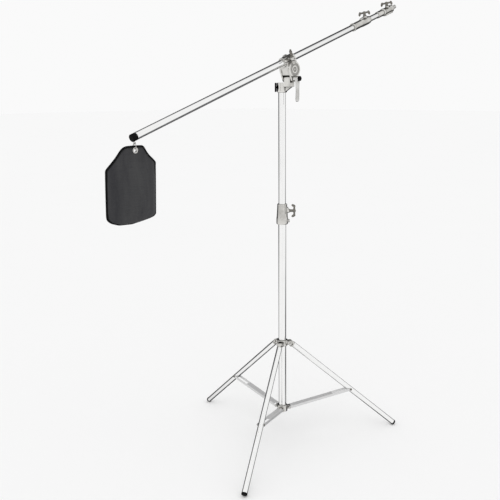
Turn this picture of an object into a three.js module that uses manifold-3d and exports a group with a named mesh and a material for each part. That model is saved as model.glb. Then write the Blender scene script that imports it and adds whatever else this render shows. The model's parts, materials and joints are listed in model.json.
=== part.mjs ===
// Boom light stand: folding tripod, two-section column, tilting boom head,
// telescoping boom with a stud at its light end and a hanging counterweight bag.
// Millimetres, +Z up. The stand stands on z = 0.
import * as THREE from 'three';
import { mergeVertices } from 'three/addons/utils/BufferGeometryUtils.js';
import Module from 'manifold-3d';

const wasm = await Module();
wasm.setup();

// ---------------------------------------------------------------- driving dimensions
const GAP = 0.3;                 // play between touching pieces

// column
const LOW_OR = 16.2, LOW_IR = 15.3, LOW_Z0 = 127, LOW_Z1 = 990;
const UP_OR = 15.0, UP_IR = 14.1, UP_Z0 = 640, UP_Z1 = 1512;

// tripod
const LEG_AZ = [-33.7, 86.3, 206.3];         // azimuths of the three legs, degrees
const LEG_R = 35.4, LEG_Z = 434.8;           // leg pivot: radius from the column axis, height
const LEG_ANGLE = 48.77;                     // leg from the vertical, degrees
const LEG_OR = 11.25, LEG_IR = 10.3, LEG_T0 = 16, LEG_T1 = 640;
const STRUT_R = 30, STRUT_Z = 138;           // strut pivot on the lower hub
const STRUT_L = 285.5, STRUT_UP = 11.35;      // strut pivot to pivot, and its rise in degrees
const STRUT_IN = 11.9, STRUT_OUT = 13.3;     // channel half widths, inside and outside
const STRUT_TOP = 6.0, STRUT_END = 5.5;     // web height over the pivot line, and the flange ends' radius
const STRUT_WEB0 = 14, STRUT_WEB1 = 200;     // length of the channel's web
const SCREW_AZ = -82, SCREW_UP = 4;          // leg collar screw: azimuth, height over the leg pivots
const RING_R = 11, RING_AT = 47, RING_TURN = -15;   // its ring grip: radius, distance from the column axis, turn

// column clamp
const CLAMP_Z0 = 952, CLAMP_Z1 = 1037, CLAMP_AZ = -50, CLAMP_SCREW_Z = 1008, CLAMP_BOLT_Z = 966;
const CLAMP_SLOT_AZ = -102.6;

// head
const SOCKET_Z0 = 1486, SOCKET_Z1 = 1524, SOCKET_R = 21;
const TILT_Z = 1539;                         // tilt bolt height
const BOOM_Y = -37, BOOM_H = 69.3;           // boom axis: side offset, height over the tilt bolt
const TILT = 19.5;                           // boom slope at rest, degrees
const CHEEK_X = 16, CHEEK_H = 32, CHEEK_R = 32, CHEEK_HUB = 13;   // round cheek plates: centre, radius, hub radius
const BOOM_S = BOOM_H * Math.tan(THREE.MathUtils.degToRad(TILT));       // boom's zero lies over the column axis
const REAR0 = -12, REAR1 = -19, FRONT0 = -57, FRONT1 = -64;

// boom, measured along its axis from above the tilt bolt
const BOOM_OR = 13.0, BOOM_IR = 12.1, BOOM_X0 = -798, BOOM_X1 = 500;
const INNER_OR = 11.8, INNER_IR = 10.9, INNER_X0 = 30, INNER_X1 = 664;
const COLLAR_X0 = 434, COLLAR_X1 = 559, COLLAR_SCREW = 533;
const END_X0 = 664.5, END_X1 = 740, END_SCREW = 708;
const STUD_R = 8, STUD_X1 = 769;

// counterweight bag
const BAG_H = 260, BAG_TH = 42;

// ---------------------------------------------------------------- materials
const mat = (color, roughness, metalness) => new THREE.MeshStandardMaterial({ color, roughness, metalness });
const CHROME = () => mat(0xdcdcdc, 0.16, 1.0);
const SATIN = () => mat(0xb9b6ae, 0.38, 1.0);
const STEEL = () => mat(0x8f8d88, 0.3, 1.0);
const DARK = () => mat(0x3f3c38, 0.35, 0.9);
const BLACK = () => mat(0x101010, 0.55, 0.0);
const FABRIC = () => mat(0x47474a, 0.95, 0.0);

// ---------------------------------------------------------------- solids
function man(geometry) {
  let g = geometry.index ? geometry.toNonIndexed() : geometry.clone();
  for (const k of Object.keys(g.attributes)) if (k !== 'position') g.deleteAttribute(k);
  g = mergeVertices(g, 1e-4);
  const pos = Float32Array.from(g.attributes.position.array);
  const src = g.index.array, tri = [];
  for (let i = 0; i < src.length; i += 3) {
    const a = src[i], b = src[i + 1], c = src[i + 2];
    if (a !== b && b !== c && a !== c) tri.push(a, b, c);
  }
  let m = new wasm.Manifold(new wasm.Mesh({ numProp: 3, vertProperties: pos, triVerts: Uint32Array.from(tri) }));
  if (m.volume() < 0) {
    const flip = [];
    for (let i = 0; i < tri.length; i += 3) flip.push(tri[i], tri[i + 2], tri[i + 1]);
    m = new wasm.Manifold(new wasm.Mesh({ numProp: 3, vertProperties: pos, triVerts: Uint32Array.from(flip) }));
  }
  return m;
}
function geo(m) {
  const r = m.getMesh();
  const g = new THREE.BufferGeometry();
  const n = r.vertProperties.length / r.numProp, p = new Float32Array(n * 3);
  for (let i = 0; i < n; i++) for (let k = 0; k < 3; k++) p[i * 3 + k] = r.vertProperties[i * r.numProp + k];
  g.setAttribute('position', new THREE.BufferAttribute(p, 3));
  g.setIndex(Array.from(r.triVerts));
  const out = g.toNonIndexed();
  out.computeVertexNormals();
  return out;
}
const rad = (d) => THREE.MathUtils.degToRad(d);
// facets kept on a round of the given nominal count
const facets = (n) => (n >= 40 ? 24 : n >= 32 ? 20 : n >= 26 ? 16 : n >= 20 ? 12 : n >= 14 ? 10 : 8);
const union = (...list) => list.reduce((a, b) => a.add(b));
const cut = (a, ...list) => list.reduce((x, y) => x.subtract(y), a);

// solid of revolution about Z; profile is [radius, height] pairs, closed on itself or on the axis
function lathe(profile, seg = 40) {
  const onAxis = profile[0][0] === 0 && profile[profile.length - 1][0] === 0;
  const pts = profile.map(([r, z]) => new THREE.Vector2(r, z));
  if (!onAxis) pts.push(pts[0].clone());
  const g = new THREE.LatheGeometry(pts, facets(seg));
  g.rotateX(Math.PI / 2);
  return man(g);
}
const rod = (r, z0, z1, seg = 24) => lathe([[0, z0], [r, z0], [r, z1], [0, z1]], seg);
const pipe = (ri, ro, z0, z1, seg = 40) => lathe([[ri, z0], [ro, z0], [ro, z1], [ri, z1]], seg);
// rod with chamfered ends
const pin = (r, z0, z1, c = 0.6, seg = 24) => lathe([[0, z0], [r - c, z0], [r, z0 + c], [r, z1 - c], [r - c, z1], [0, z1]], seg);
function box(x0, x1, y0, y1, z0, z1) {
  const g = new THREE.BoxGeometry(x1 - x0, y1 - y0, z1 - z0);
  g.translate((x0 + x1) / 2, (y0 + y1) / 2, (z0 + z1) / 2);
  return man(g);
}
// a 2-D outline [[u, v], ...] extruded by depth along +Z
function slab(outline, z0, z1, holes = []) {
  const s = new THREE.Shape(outline.map(([u, v]) => new THREE.Vector2(u, v)));
  for (const h of holes) s.holes.push(new THREE.Path(h.map(([u, v]) => new THREE.Vector2(u, v))));
  const g = new THREE.ExtrudeGeometry(s, { depth: z1 - z0, bevelEnabled: false, curveSegments: 16 });
  g.translate(0, 0, z0);
  return man(g);
}
// move a solid by a three.js transform
function xf(m, { p = [0, 0, 0], r = [0, 0, 0] } = {}) {
  const M = new THREE.Matrix4().compose(new THREE.Vector3(...p),
    new THREE.Quaternion().setFromEuler(new THREE.Euler(rad(r[0]), rad(r[1]), rad(r[2]))), new THREE.Vector3(1, 1, 1));
  const g = geo(m);
  g.applyMatrix4(M);
  return man(g);
}
const alongX = (m, p = [0, 0, 0]) => xf(m, { r: [0, 90, 0], p });      // Z axis laid on +X
const alongY = (m, p = [0, 0, 0]) => xf(m, { r: [-90, 0, 0], p });     // Z axis laid on +Y
const radial = (m, az, z) => xf(alongX(m), { r: [0, 0, az], p: [0, 0, z] });
const circle = (cx, cy, r, n = 32, a0 = 0, a1 = 360) => {
  const out = [], full = a1 - a0 === 360, k = full ? n : n + 1;
  for (let i = 0; i < k; i++) { const a = rad(a0 + (a1 - a0) * i / n); out.push([cx + r * Math.cos(a), cy + r * Math.sin(a)]); }
  return out;
};
// slab lying in the XZ plane, from y0 to y1 (y0 < y1); outline in (x, z)
const slabXZ = (outline, y0, y1) => xf(slab(outline, -y1, -y0), { r: [90, 0, 0] });
// slab lying in the XY plane of a bolt circle etc. uses slab() directly

// hand screw along +Z: tip at z0, shank to z1, neck to the cross bar at zb, oval paddles at both ends
function handScrew({ shank = 3, z0, z1, neck = 5.5, zb, half = 22, padW = 5, padH = 9, turn = 0, sweep = 16 }) {
  const body = lathe([[0, z0], [shank, z0], [shank, z1], [neck + 1.5, z1], [neck + 1.5, z1 + 3], [neck, z1 + 4.5],
    [neck, zb + 2], [neck - 1.5, zb + 5.5], [0, zb + 6.5]], 24);
  const bar = alongX(lathe([[0, -half], [3.4, -half], [4.2, -6], [4.2, 6], [3.4, half], [0, half]], 16), [0, 0, zb]);
  const oval = circle(0, 0, 1, 12).map(([u, v]) => [u * padW, v * padH]);
  const pad = (s) => xf(slabXZ(oval, -3.6, 3.6), { r: [0, s * -sweep, 0], p: [s * half, 0, zb - 1 - sweep / 10] });
  return xf(union(body, bar, pad(1), pad(-1)), { r: [0, 0, turn] });
}

// ---------------------------------------------------------------- scene graph
const stand = new THREE.Group();
function add(parent, name, solid, material, place = {}) {
  const mesh = new THREE.Mesh(geo(solid), material);
  mesh.name = name;
  if (place.p) mesh.position.set(...place.p);
  if (place.r) mesh.rotation.set(rad(place.r[0]), rad(place.r[1]), rad(place.r[2]));
  parent.add(mesh);
  return mesh;
}
function group(parent, p = [0, 0, 0], r = [0, 0, 0]) {
  const g = new THREE.Group();
  g.position.set(...p);
  g.rotation.set(rad(r[0]), rad(r[1]), rad(r[2]));
  parent.add(g);
  return g;
}

// ---------------------------------------------------------------- column, lower section
add(stand, 'column_lower_tube', pipe(LOW_IR, LOW_OR, LOW_Z0, LOW_Z1, 48), CHROME());
add(stand, 'column_end_plug', lathe([[0, 120], [15.2, 120], [16.2, 121.2], [16.2, LOW_Z0 - GAP], [LOW_IR - GAP, LOW_Z0 - GAP],
  [LOW_IR - GAP, 147], [14, 148.5], [0, 148.5]]), BLACK());

// lower hub: ring fixed on the column foot, one lug for each strut
let hub = lathe([[LOW_OR + GAP, 123], [20.7, 123], [21.5, 123.8], [21.5, 150.2], [20.7, 151], [LOW_OR + GAP, 151]]);
for (const az of LEG_AZ) {
  const lug = union(box(19, STRUT_R, -7, 7, STRUT_Z - 8, STRUT_Z + 8), alongY(rod(8, -7, 7, 28), [STRUT_R, 0, STRUT_Z]));
  hub = hub.add(xf(cut(lug, alongY(rod(2.8, -8, 8), [STRUT_R, 0, STRUT_Z])), { r: [0, 0, az] }));
}
add(stand, 'strut_hub', cut(hub, rod(LOW_OR + GAP, 118, 156, 40)), SATIN());

// ---------------------------------------------------------------- tripod
// leg collar, slides on the column; a pair of ears for each leg, a boss for the hand screw
let collar = lathe([[LOW_OR + GAP, LEG_Z - 12], [20.5, LEG_Z - 12], [21.5, LEG_Z - 11], [21.5, LEG_Z + 9], [23, LEG_Z + 10.5],
  [23, LEG_Z + 13], [22, LEG_Z + 14], [LOW_OR + GAP, LEG_Z + 14]]);
for (const az of LEG_AZ) {
  let ears;
  for (const s of [-1, 1]) {
    const y0 = s > 0 ? 6.6 : -10.6, y1 = s > 0 ? 10.6 : -6.6;
    const ear = union(box(18, LEG_R, y0, y1, LEG_Z - 9, LEG_Z + 9), alongY(rod(9.2, y0, y1, 28), [LEG_R, 0, LEG_Z]));
    ears = ears ? ears.add(ear) : ear;
  }
  collar = collar.add(xf(cut(ears, alongY(rod(3.3, -12, 12), [LEG_R, 0, LEG_Z])), { r: [0, 0, az] }));
}
collar = collar.add(radial(rod(8, 19, 29.5, 28), SCREW_AZ, LEG_Z + SCREW_UP));
collar = cut(collar, rod(LOW_OR + GAP, LEG_Z - 20, LEG_Z + 20, 40), radial(rod(3.3, 10, 40), SCREW_AZ, LEG_Z + SCREW_UP));
add(stand, 'leg_collar', collar, SATIN());
add(stand, 'leg_collar_screw', union(lathe([[0, LOW_OR + GAP + 0.3], [3, LOW_OR + GAP + 0.3], [3, 29.8], [6, 29.8], [6, 32.5], [4.4, 34], [4.4, RING_AT - 10], [0, RING_AT - 9]], 24),
  xf(man(new THREE.TorusGeometry(RING_R, 2.4, 8, 24)), { r: [90, RING_TURN, 0], p: [0, 0, RING_AT] })), SATIN(), { p: [0, 0, LEG_Z + SCREW_UP] });
{
  const m = stand.getObjectByName('leg_collar_screw');
  m.rotation.set(0, 0, 0);
  m.quaternion.setFromEuler(new THREE.Euler(0, rad(90), rad(SCREW_AZ), 'ZYX'));
}

LEG_AZ.forEach((az, i) => {
  const n = i + 1;
  const arm = group(stand, [0, 0, 0], [0, 0, az]);
  // bolt through the ears
  add(arm, `leg_pivot_bolt_${n}`, alongY(lathe([[0, -14.4], [4.6, -14.4], [5.4, -13.6], [5.4, -10.9], [3, -10.9], [3, 10.9], [5.6, 10.9],
    [5.6, 14.2], [4.8, 15], [0, 15]], 24), [LEG_R, 0, LEG_Z]), STEEL());
  // leg frame: +Z runs down the leg from its pivot
  const leg = group(arm, [LEG_R, 0, LEG_Z], [0, 180 - LEG_ANGLE, 0]);
  const eye = union(alongY(rod(8.8, -6.3, 6.3, 28)), box(-7.6, 7.6, -6.3, 6.3, 0, 12.5), rod(LEG_OR, 12, LEG_T0 - GAP, 36),
    rod(LEG_IR - GAP, LEG_T0 - 1, LEG_T0 + 32, 36));
  add(leg, `leg_top_fitting_${n}`, cut(eye, alongY(rod(3.3, -8, 8))), SATIN());
  add(leg, `leg_tube_${n}`, pipe(LEG_IR, LEG_OR, LEG_T0, LEG_T1, 40), CHROME());
  // foot plug, trimmed flat where it stands on the floor
  const plug = lathe([[0, 606], [9, 606], [LEG_IR - GAP, 608], [LEG_IR - GAP, LEG_T1 + GAP], [LEG_OR + 0.4, LEG_T1 + GAP], [LEG_OR + 0.4, 646.5],
    [LEG_OR - 0.7, 648.5], [0, 648.5]], 36);
  const th = rad(LEG_ANGLE);
  // the floor's plane in leg coordinates: x sin(th) + z cos(th) = LEG_Z
  const shift = LEG_Z / Math.cos(th);
  const trim = xf(box(-300, 300, -60, 60, 0, 120), { r: [0, LEG_ANGLE, 0], p: [0, 0, shift] });
  add(leg, `foot_plug_${n}`, cut(plug, trim), BLACK());
});

// struts: channels with their web on top, forked over the leg at the outer end
const flangeOutline = [];
flangeOutline.push(...circle(0, 0.5, STRUT_END, 8, 90, 270), ...circle(STRUT_L, 0.5, STRUT_END, 8, -90, 90));
LEG_AZ.forEach((az, i) => {
  const n = i + 1;
  const arm = group(stand, [0, 0, 0], [0, 0, az]);
  const strut = group(arm, [STRUT_R, 0, STRUT_Z], [0, -STRUT_UP, 0]);
  const side = (y0, y1) => slabXZ(flangeOutline, y0, y1);
  let channel = union(side(STRUT_IN, STRUT_OUT), side(-STRUT_OUT, -STRUT_IN), box(STRUT_WEB0, STRUT_WEB1, -STRUT_OUT, STRUT_OUT, STRUT_TOP - 1.4, STRUT_TOP));
  channel = cut(channel, alongY(rod(2.8, -20, 20)), alongY(rod(2.8, -20, 20), [STRUT_L, 0, 0]));
  add(strut, `strut_${n}`, channel, SATIN());
  add(strut, `strut_hub_pin_${n}`, alongY(lathe([[0, -15.8], [3.4, -15.8], [4.4, -14.8], [4.4, -13.6], [2.5, -13.6], [2.5, 13.6], [4.4, 13.6],
    [4.4, 14.8], [3.4, 15.8], [0, 15.8]], 20)), STEEL());
  for (const [tag, s] of [['a', -1], ['b', 1]]) {
    const head = lathe([[0, 12.0], [2.5, 12.0], [2.5, 13.6], [5.0, 13.6], [4.8, 14.8], [3.4, 16.2], [0, 16.8]], 20);
    add(strut, `strut_rivet_${n}${tag}`, xf(head, { r: [s > 0 ? -90 : 90, 0, 0], p: [STRUT_L, 0, 0] }), DARK());
  }
});

// ---------------------------------------------------------------- column clamp
let clamp = lathe([[LOW_OR + GAP, CLAMP_Z0], [22.2, CLAMP_Z0], [24, CLAMP_Z0 + 3], [24, CLAMP_Z0 + 26], [23, CLAMP_Z0 + 32], [20.4, CLAMP_Z1 - 8],
  [20.4, CLAMP_Z1 - 2], [19, CLAMP_Z1], [UP_OR + GAP, CLAMP_Z1], [UP_OR + GAP, LOW_Z1 + GAP], [LOW_OR + GAP, LOW_Z1 + GAP]], 44);
clamp = union(clamp, radial(rod(9, 18.5, 29, 28), CLAMP_AZ, CLAMP_SCREW_Z),
  xf(box(17.5, 25, -9, 9, CLAMP_SCREW_Z - 2, CLAMP_SCREW_Z + 14), { r: [0, 0, CLAMP_AZ] }),
  radial(rod(7.5, 19, 26, 24), CLAMP_AZ, CLAMP_BOLT_Z));
clamp = cut(clamp, radial(rod(3.8, 10, 40), CLAMP_AZ, CLAMP_SCREW_Z), radial(rod(3.3, 10, 40), CLAMP_AZ, CLAMP_BOLT_Z),
  rod(UP_OR + GAP, LOW_Z1 + GAP, CLAMP_Z1 + 5, 44), rod(LOW_OR + GAP, CLAMP_Z0 - 5, LOW_Z1 + GAP, 44),
  xf(box(10, 40, -1.2, 1.2, LOW_Z1 + 6, CLAMP_Z1 + 5), { r: [0, 0, CLAMP_SLOT_AZ] }));
add(stand, 'column_clamp', clamp, SATIN());
const turnedRadial = (m, az, p) => { m.position.set(...p); m.quaternion.setFromEuler(new THREE.Euler(0, rad(90), rad(az), 'ZYX')); };
turnedRadial(add(stand, 'column_clamp_bolt', lathe([[0, 17.5], [3, 17.5], [3, 26.3], [6.5, 26.3], [6.5, 29.6], [5.4, 30.6], [0, 30.6]], 6 * 4), STEEL()),
  CLAMP_AZ, [0, 0, CLAMP_BOLT_Z]);
turnedRadial(add(stand, 'column_clamp_screw', handScrew({ shank: 3.5, z0: UP_OR + 0.5, z1: 29.3, neck: 5.5, zb: 50, half: 21, sweep: 24 }), DARK()),
  CLAMP_AZ, [0, 0, CLAMP_SCREW_Z]);

// ---------------------------------------------------------------- column, upper section
add(stand, 'column_upper_tube', pipe(UP_IR, UP_OR, UP_Z0, UP_Z1, 48), CHROME());
add(stand, 'column_inner_plug', lathe([[0, UP_Z0 - 7], [UP_OR - 0.8, UP_Z0 - 7], [UP_OR, UP_Z0 - 6.2], [UP_OR, UP_Z0 - GAP], [UP_IR - GAP, UP_Z0 - GAP],
  [UP_IR - GAP, UP_Z0 + 22], [0, UP_Z0 + 22]]), BLACK());

// ---------------------------------------------------------------- head, turns on the column
const KNOB_AZ = 132.4, KNOB_Z = 1506;
let socket = lathe([[0, SOCKET_Z1], [SOCKET_R - 1.5, SOCKET_Z1], [SOCKET_R, SOCKET_Z1 - 1.5], [SOCKET_R, SOCKET_Z0 + 5], [18.6, SOCKET_Z0], [UP_OR + GAP, SOCKET_Z0],
  [UP_OR + GAP, UP_Z1 + GAP], [0, UP_Z1 + GAP]], 44);
const gusset = xf(slab([[-19, 1488.5], [-19, 1510], [-55, 1510], [-55, 1508]], -4.5, 4.5), { r: [90, 90, 0] });
socket = union(socket, box(-13, 13, -55, -15, 1508, SOCKET_Z1), gusset,
  box(-13, 13, -54, -22, SOCKET_Z1 - 1, TILT_Z), alongY(rod(13, -54, -22, 36), [0, 0, TILT_Z]));
socket = cut(socket, rod(UP_OR + GAP, SOCKET_Z0 - 5, UP_Z1 + GAP, 44), alongY(rod(4.3, -60, -10, 24), [0, 0, TILT_Z]),
  radial(rod(3.8, 8, 30), KNOB_AZ, KNOB_Z));
add(stand, 'head_socket', socket, SATIN());
turnedRadial(add(stand, 'socket_lock_knob', (() => {
  let k = lathe([[0, UP_OR + 0.5], [3.5, UP_OR + 0.5], [3.5, SOCKET_R + 0.6], [16.5, SOCKET_R + 0.6], [18.2, SOCKET_R + 2], [18.2, SOCKET_R + 6.6],
    [16.8, SOCKET_R + 8], [0, SOCKET_R + 8]], 36);
  return k;
})(), BLACK()), KNOB_AZ, [0, 0, KNOB_Z]);

// ---------------------------------------------------------------- tilting yoke; its frame: X along the boom, origin on the tilt bolt
const tilt = group(stand, [0, 0, TILT_Z], [0, -TILT, 0]);
// cheek outline: a round plate drawn in to the bolt hub
const hullTangent = (() => {
  const d = Math.hypot(CHEEK_X, CHEEK_H), lean = Math.atan2(CHEEK_X, CHEEK_H) * 180 / Math.PI;
  const a = Math.acos((CHEEK_R - CHEEK_HUB) / d) * 180 / Math.PI;   // tangent contact angle from the line joining the centres
  const out = [];
  out.push(...circle(CHEEK_X, CHEEK_H, CHEEK_R, 22, -90 - lean + a, 270 - lean - a));
  out.push(...circle(0, 0, CHEEK_HUB, 8, 270 - lean - a, 270 - lean + a));
  return out;
})();
const cheek = (y0, y1) => slabXZ(hullTangent, y0, y1);
const ringX = (r, x0, x1, seg = 40) => alongX(rod(r, x0, x1, seg), [0, BOOM_Y, BOOM_H]);
const CL0 = -18, CL1 = 46, CLM = (CL0 + CL1) / 2;     // clamp length along the boom
const SCREW_X = CLM, SCREW_Y = -64.5;
let yoke = union(cheek(REAR1, REAR0), cheek(FRONT1, FRONT0),
  box(CL0 + 6, CL1 - 2, FRONT0 - 1, REAR1 + 1, 17.5, BOOM_H - 1.2), ringX(19, CL0, CL1),
  // lower ear for the clamp screw
  box(SCREW_X - 9, SCREW_X + 9, SCREW_Y - 7, FRONT0 + 3, 54, BOOM_H - 1.2), xf(rod(9, 54, BOOM_H - 1.2, 28), { p: [SCREW_X, SCREW_Y, 0] }));
yoke = cut(yoke, box(-80, 80, -90, 10, BOOM_H - 1.2, 140), ringX(BOOM_OR + GAP, -80, 80, 48),
  alongY(rod(4.3, -70, 0)), xf(rod(3.3, 50, 90), { p: [SCREW_X, SCREW_Y, 0] }));
// rear hinge knuckles
const HY = -13.2, HZ = BOOM_H + 0.6;
const knuckle = (x0, x1) => union(alongX(rod(4.8, x0, x1, 24), [0, HY, HZ]), box(x0, x1, HY - 6.5, HY + 1.5, HZ - 8, HZ - 1.5));
yoke = union(yoke, knuckle(CLM - 26, CLM - 10.3), knuckle(CLM + 10.3, CLM + 26));
yoke = cut(yoke, alongX(rod(2.3, -40, 40, 20), [0, HY, HZ]), box(CLM - 10, CLM + 10, HY - 7.5, HY + 8, HZ - 5.5, HZ + 8), ringX(BOOM_OR + GAP, -80, 80, 48));
add(tilt, 'tilt_yoke', yoke, SATIN());

let cap = union(ringX(19, CL0, CL1), box(SCREW_X - 9, SCREW_X + 9, SCREW_Y, BOOM_Y, BOOM_H + 1.4, BOOM_H + 12),
  xf(rod(9, BOOM_H + 1.4, BOOM_H + 12, 28), { p: [SCREW_X, SCREW_Y, 0] }),
  xf(slab([[-13, 0], [13, 0], [7, 6], [-7, 6]], -5, 5), { r: [90, 0, 0], p: [CLM, BOOM_Y + 6, BOOM_H + 16] }));
cap = cut(cap, box(-80, 80, -90, 10, 0, BOOM_H + 1.4));
cap = union(cap, alongX(rod(4.8, CLM - 9.7, CLM + 9.7, 24), [0, HY, HZ]), box(CLM - 9.7, CLM + 9.7, HY - 7, HY, HZ + 0.9, HZ + 4.6));
cap = cut(cap, ringX(BOOM_OR + GAP, -80, 80, 48), xf(rod(3.7, 60, 100), { p: [SCREW_X, SCREW_Y, 0] }), alongX(rod(2.3, -40, 40, 20), [0, HY, HZ]));
add(tilt, 'boom_clamp_cap', cap, SATIN());
add(tilt, 'boom_clamp_hinge_pin', alongX(pin(2.0, CLM - 27, CLM + 27, 0.4, 20), [0, HY, HZ]), STEEL());
add(tilt, 'boom_clamp_screw', handScrew({ shank: 3.0, z0: 56, z1: BOOM_H + 12.4, neck: 5.5, zb: BOOM_H + 33, half: 19, turn: 42 }), DARK(),
  { p: [SCREW_X, SCREW_Y, 0] });
// friction washers beside the tongue
add(tilt, 'tilt_washer_rear', alongY(pipe(4.3, 12.4, -21.7, REAR1 - GAP, 32)), DARK());
add(tilt, 'tilt_washer_front', alongY(pipe(4.3, 12.4, FRONT0 + GAP, -54.3, 32)), DARK());
// tilt bolt: head behind the rear cheek, threaded end inside the lever's hub
add(tilt, 'tilt_bolt', alongY(lathe([[0, -80], [4, -80], [4, REAR0 + GAP], [7.5, REAR0 + GAP], [7.5, -7.2], [6.4, -6.2], [0, -6.2]], 24)), STEEL());
// lever: hub on the bolt, arm hanging down beside the column
const lever = group(stand, [0, 0, TILT_Z], [0, 0, 0]);
let hubL = alongY(lathe([[4.3, FRONT1 - GAP], [10, FRONT1 - GAP], [10, -80], [9.4, -90], [0, -90], [0, -81], [4.3, -81]].reverse(), 32));
const armOutline = [[-8, 3], [8, 3], [9.5, -8], [7.6, -24], [7, -44], [7.4, -66], [6.6, -82], [4, -87.5], [0, -89], [-3, -87], [-4.6, -80], [-3.4, -64], [-2.6, -44], [-4.4, -24], [-8, -8]];
const armL = slabXZ(armOutline, -86, -75);
add(lever, 'tilt_lever', cut(union(hubL, armL), alongY(lathe([[0, -81], [4.3, -81], [4.3, FRONT1 + 5], [0, FRONT1 + 5]], 32))), CHROME());
add(lever, 'tilt_lever_cap', alongY(lathe([[0, -96.5], [8.2, -96.5], [9.8, -95], [9.8, -90.3], [0, -90.3]], 32)), BLACK());

// ---------------------------------------------------------------- boom; its frame: +X along the boom, origin on its axis over the tilt bolt
const boom = group(tilt, [BOOM_S, BOOM_Y, BOOM_H]);
add(boom, 'boom_outer_tube', alongX(pipe(BOOM_IR, BOOM_OR, BOOM_X0, BOOM_X1, 48)), CHROME());
let endCap = alongX(lathe([[0, -818], [11.4, -818], [13.1, -816.3], [13.1, BOOM_X0 - GAP], [BOOM_IR - GAP, BOOM_X0 - GAP], [BOOM_IR - GAP, -772], [10.6, -770], [0, -770]], 40));
// eye for the bag's ring, on the cap's underside
const EYE_X = -811.5, EYE_D = 18.5;
endCap = cut(endCap, xf(rod(2.0, -20, 5, 16), { p: [EYE_X, 0, 0] }));
add(boom, 'boom_end_cap', endCap, BLACK());
const torus = (R, r, n = 28, m = 10, a1 = 360) => man(new THREE.TorusGeometry(R, r, m, n, rad(a1)));
// screw eye: shank up into the cap, ring across the boom, open to the bag's link
let eye = union(xf(rod(1.6, -EYE_D + 3.6, 4.7, 16), { p: [EYE_X, 0, 0] }), xf(torus(3.7, 1.3, 16, 8), { r: [90, 0, 0], p: [EYE_X, 0, -EYE_D] }));
add(boom, 'bag_screw_eye', eye, STEEL());

// collar at the boom's light end
let bc = lathe([[BOOM_OR + GAP, COLLAR_X0], [16.6, COLLAR_X0], [17.2, COLLAR_X0 + 1.5], [17.2, COLLAR_X0 + 6], [15.6, COLLAR_X0 + 9], [15.6, COLLAR_X0 + 58], [17, COLLAR_X0 + 70],
  [17, COLLAR_X1 - 14], [15.2, COLLAR_X1 - 1.5], [14.4, COLLAR_X1], [INNER_OR + GAP, COLLAR_X1], [INNER_OR + GAP, BOOM_X1 + GAP], [BOOM_OR + GAP, BOOM_X1 + GAP]], 44);
bc = alongX(bc);
bc = union(bc, xf(rod(8.5, 12, 22.5, 28), { p: [COLLAR_SCREW, 0, 0] }), box(COLLAR_SCREW - 34, COLLAR_SCREW, -5, 5, 13, 20.5));
bc = cut(bc, xf(rod(3.3, 5, 30), { p: [COLLAR_SCREW, 0, 0] }), alongX(rod(INNER_OR + GAP, BOOM_X1, COLLAR_X1 + 5, 44)),
  alongX(rod(BOOM_OR + GAP, COLLAR_X0 - 5, BOOM_X1 + GAP, 44)), box(BOOM_X1 + 6, COLLAR_X1 + 5, -1, 1, -30, -8));
add(boom, 'boom_collar', bc, SATIN());
add(boom, 'boom_collar_screw', handScrew({ shank: 3.0, z0: INNER_OR + 0.5, z1: 22.8, neck: 5.5, zb: 36, half: 20, turn: -60 }), DARK(), { p: [COLLAR_SCREW, 0, 0] });

// telescoping section
add(boom, 'boom_inner_tube', alongX(pipe(INNER_IR, INNER_OR, INNER_X0, INNER_X1, 44)), CHROME());
add(boom, 'boom_inner_bush', alongX(lathe([[0, INNER_X0 - 10], [BOOM_IR - GAP, INNER_X0 - 10], [BOOM_IR - GAP, INNER_X0 - GAP], [INNER_IR - GAP, INNER_X0 - GAP],
  [INNER_IR - GAP, INNER_X0 + 16], [0, INNER_X0 + 16]], 40)), BLACK());
// stud holder on its end: sleeve over the tube, then a casting with a cross screw
add(boom, 'stud_sleeve', alongX(lathe([[INNER_OR + GAP, 622], [13.4, 622], [14.2, 624], [14.2, 660], [13.6, END_X0 - GAP - 0.2], [INNER_OR + GAP, END_X0 - GAP - 0.2]], 40)), SATIN());
let holder = alongX(lathe([[0, END_X0], [14.6, END_X0], [16.4, END_X0 + 3], [16.4, END_X0 + 10], [15, END_X0 + 14], [15, END_X1 - 16], [16.2, END_X1 - 13], [16.2, END_X1 - 2.5],
  [14.6, END_X1], [STUD_R + GAP, END_X1], [STUD_R + GAP, END_X0 + 24], [0, END_X0 + 24]], 40));
holder = union(holder, xf(rod(8.5, 10, 19.5, 28), { p: [END_SCREW, 0, 0] }), box(END_X0 + 8, END_X1 - 8, -11, 11, -17.6, -5));
holder = cut(holder, alongX(rod(STUD_R + GAP, END_X0 + 24, END_X1 + 5, 40)), xf(rod(3.3, 4, 30), { p: [END_SCREW, 0, 0] }));
add(boom, 'stud_holder', holder, SATIN());
add(boom, 'stud_holder_screw', handScrew({ shank: 3.0, z0: STUD_R + 0.6, z1: 19.8, neck: 5.5, zb: 31, half: 21, turn: -60 }), DARK(), { p: [END_SCREW, 0, 0] });
add(boom, 'light_stud', alongX(lathe([[0, END_X0 + 24.5], [STUD_R - 1, END_X0 + 24.5], [STUD_R, END_X0 + 25.5], [STUD_R, END_X1 + 9], [STUD_R - 1.8, END_X1 + 11], [STUD_R - 1.8, END_X1 + 17],
  [STUD_R, END_X1 + 19], [STUD_R, STUD_X1 - 1.5], [STUD_R - 1.5, STUD_X1], [0, STUD_X1]], 32)), STEEL());

// ---------------------------------------------------------------- counterweight bag, hangs plumb under the screw eye
const t = rad(TILT);
const eyeX = (EYE_X + BOOM_S) * Math.cos(t) - (BOOM_H - EYE_D) * Math.sin(t);
const eyeZ = TILT_Z + (EYE_X + BOOM_S) * Math.sin(t) + (BOOM_H - EYE_D) * Math.cos(t);
const bagGroup = group(stand, [eyeX, BOOM_Y, eyeZ]);
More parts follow.
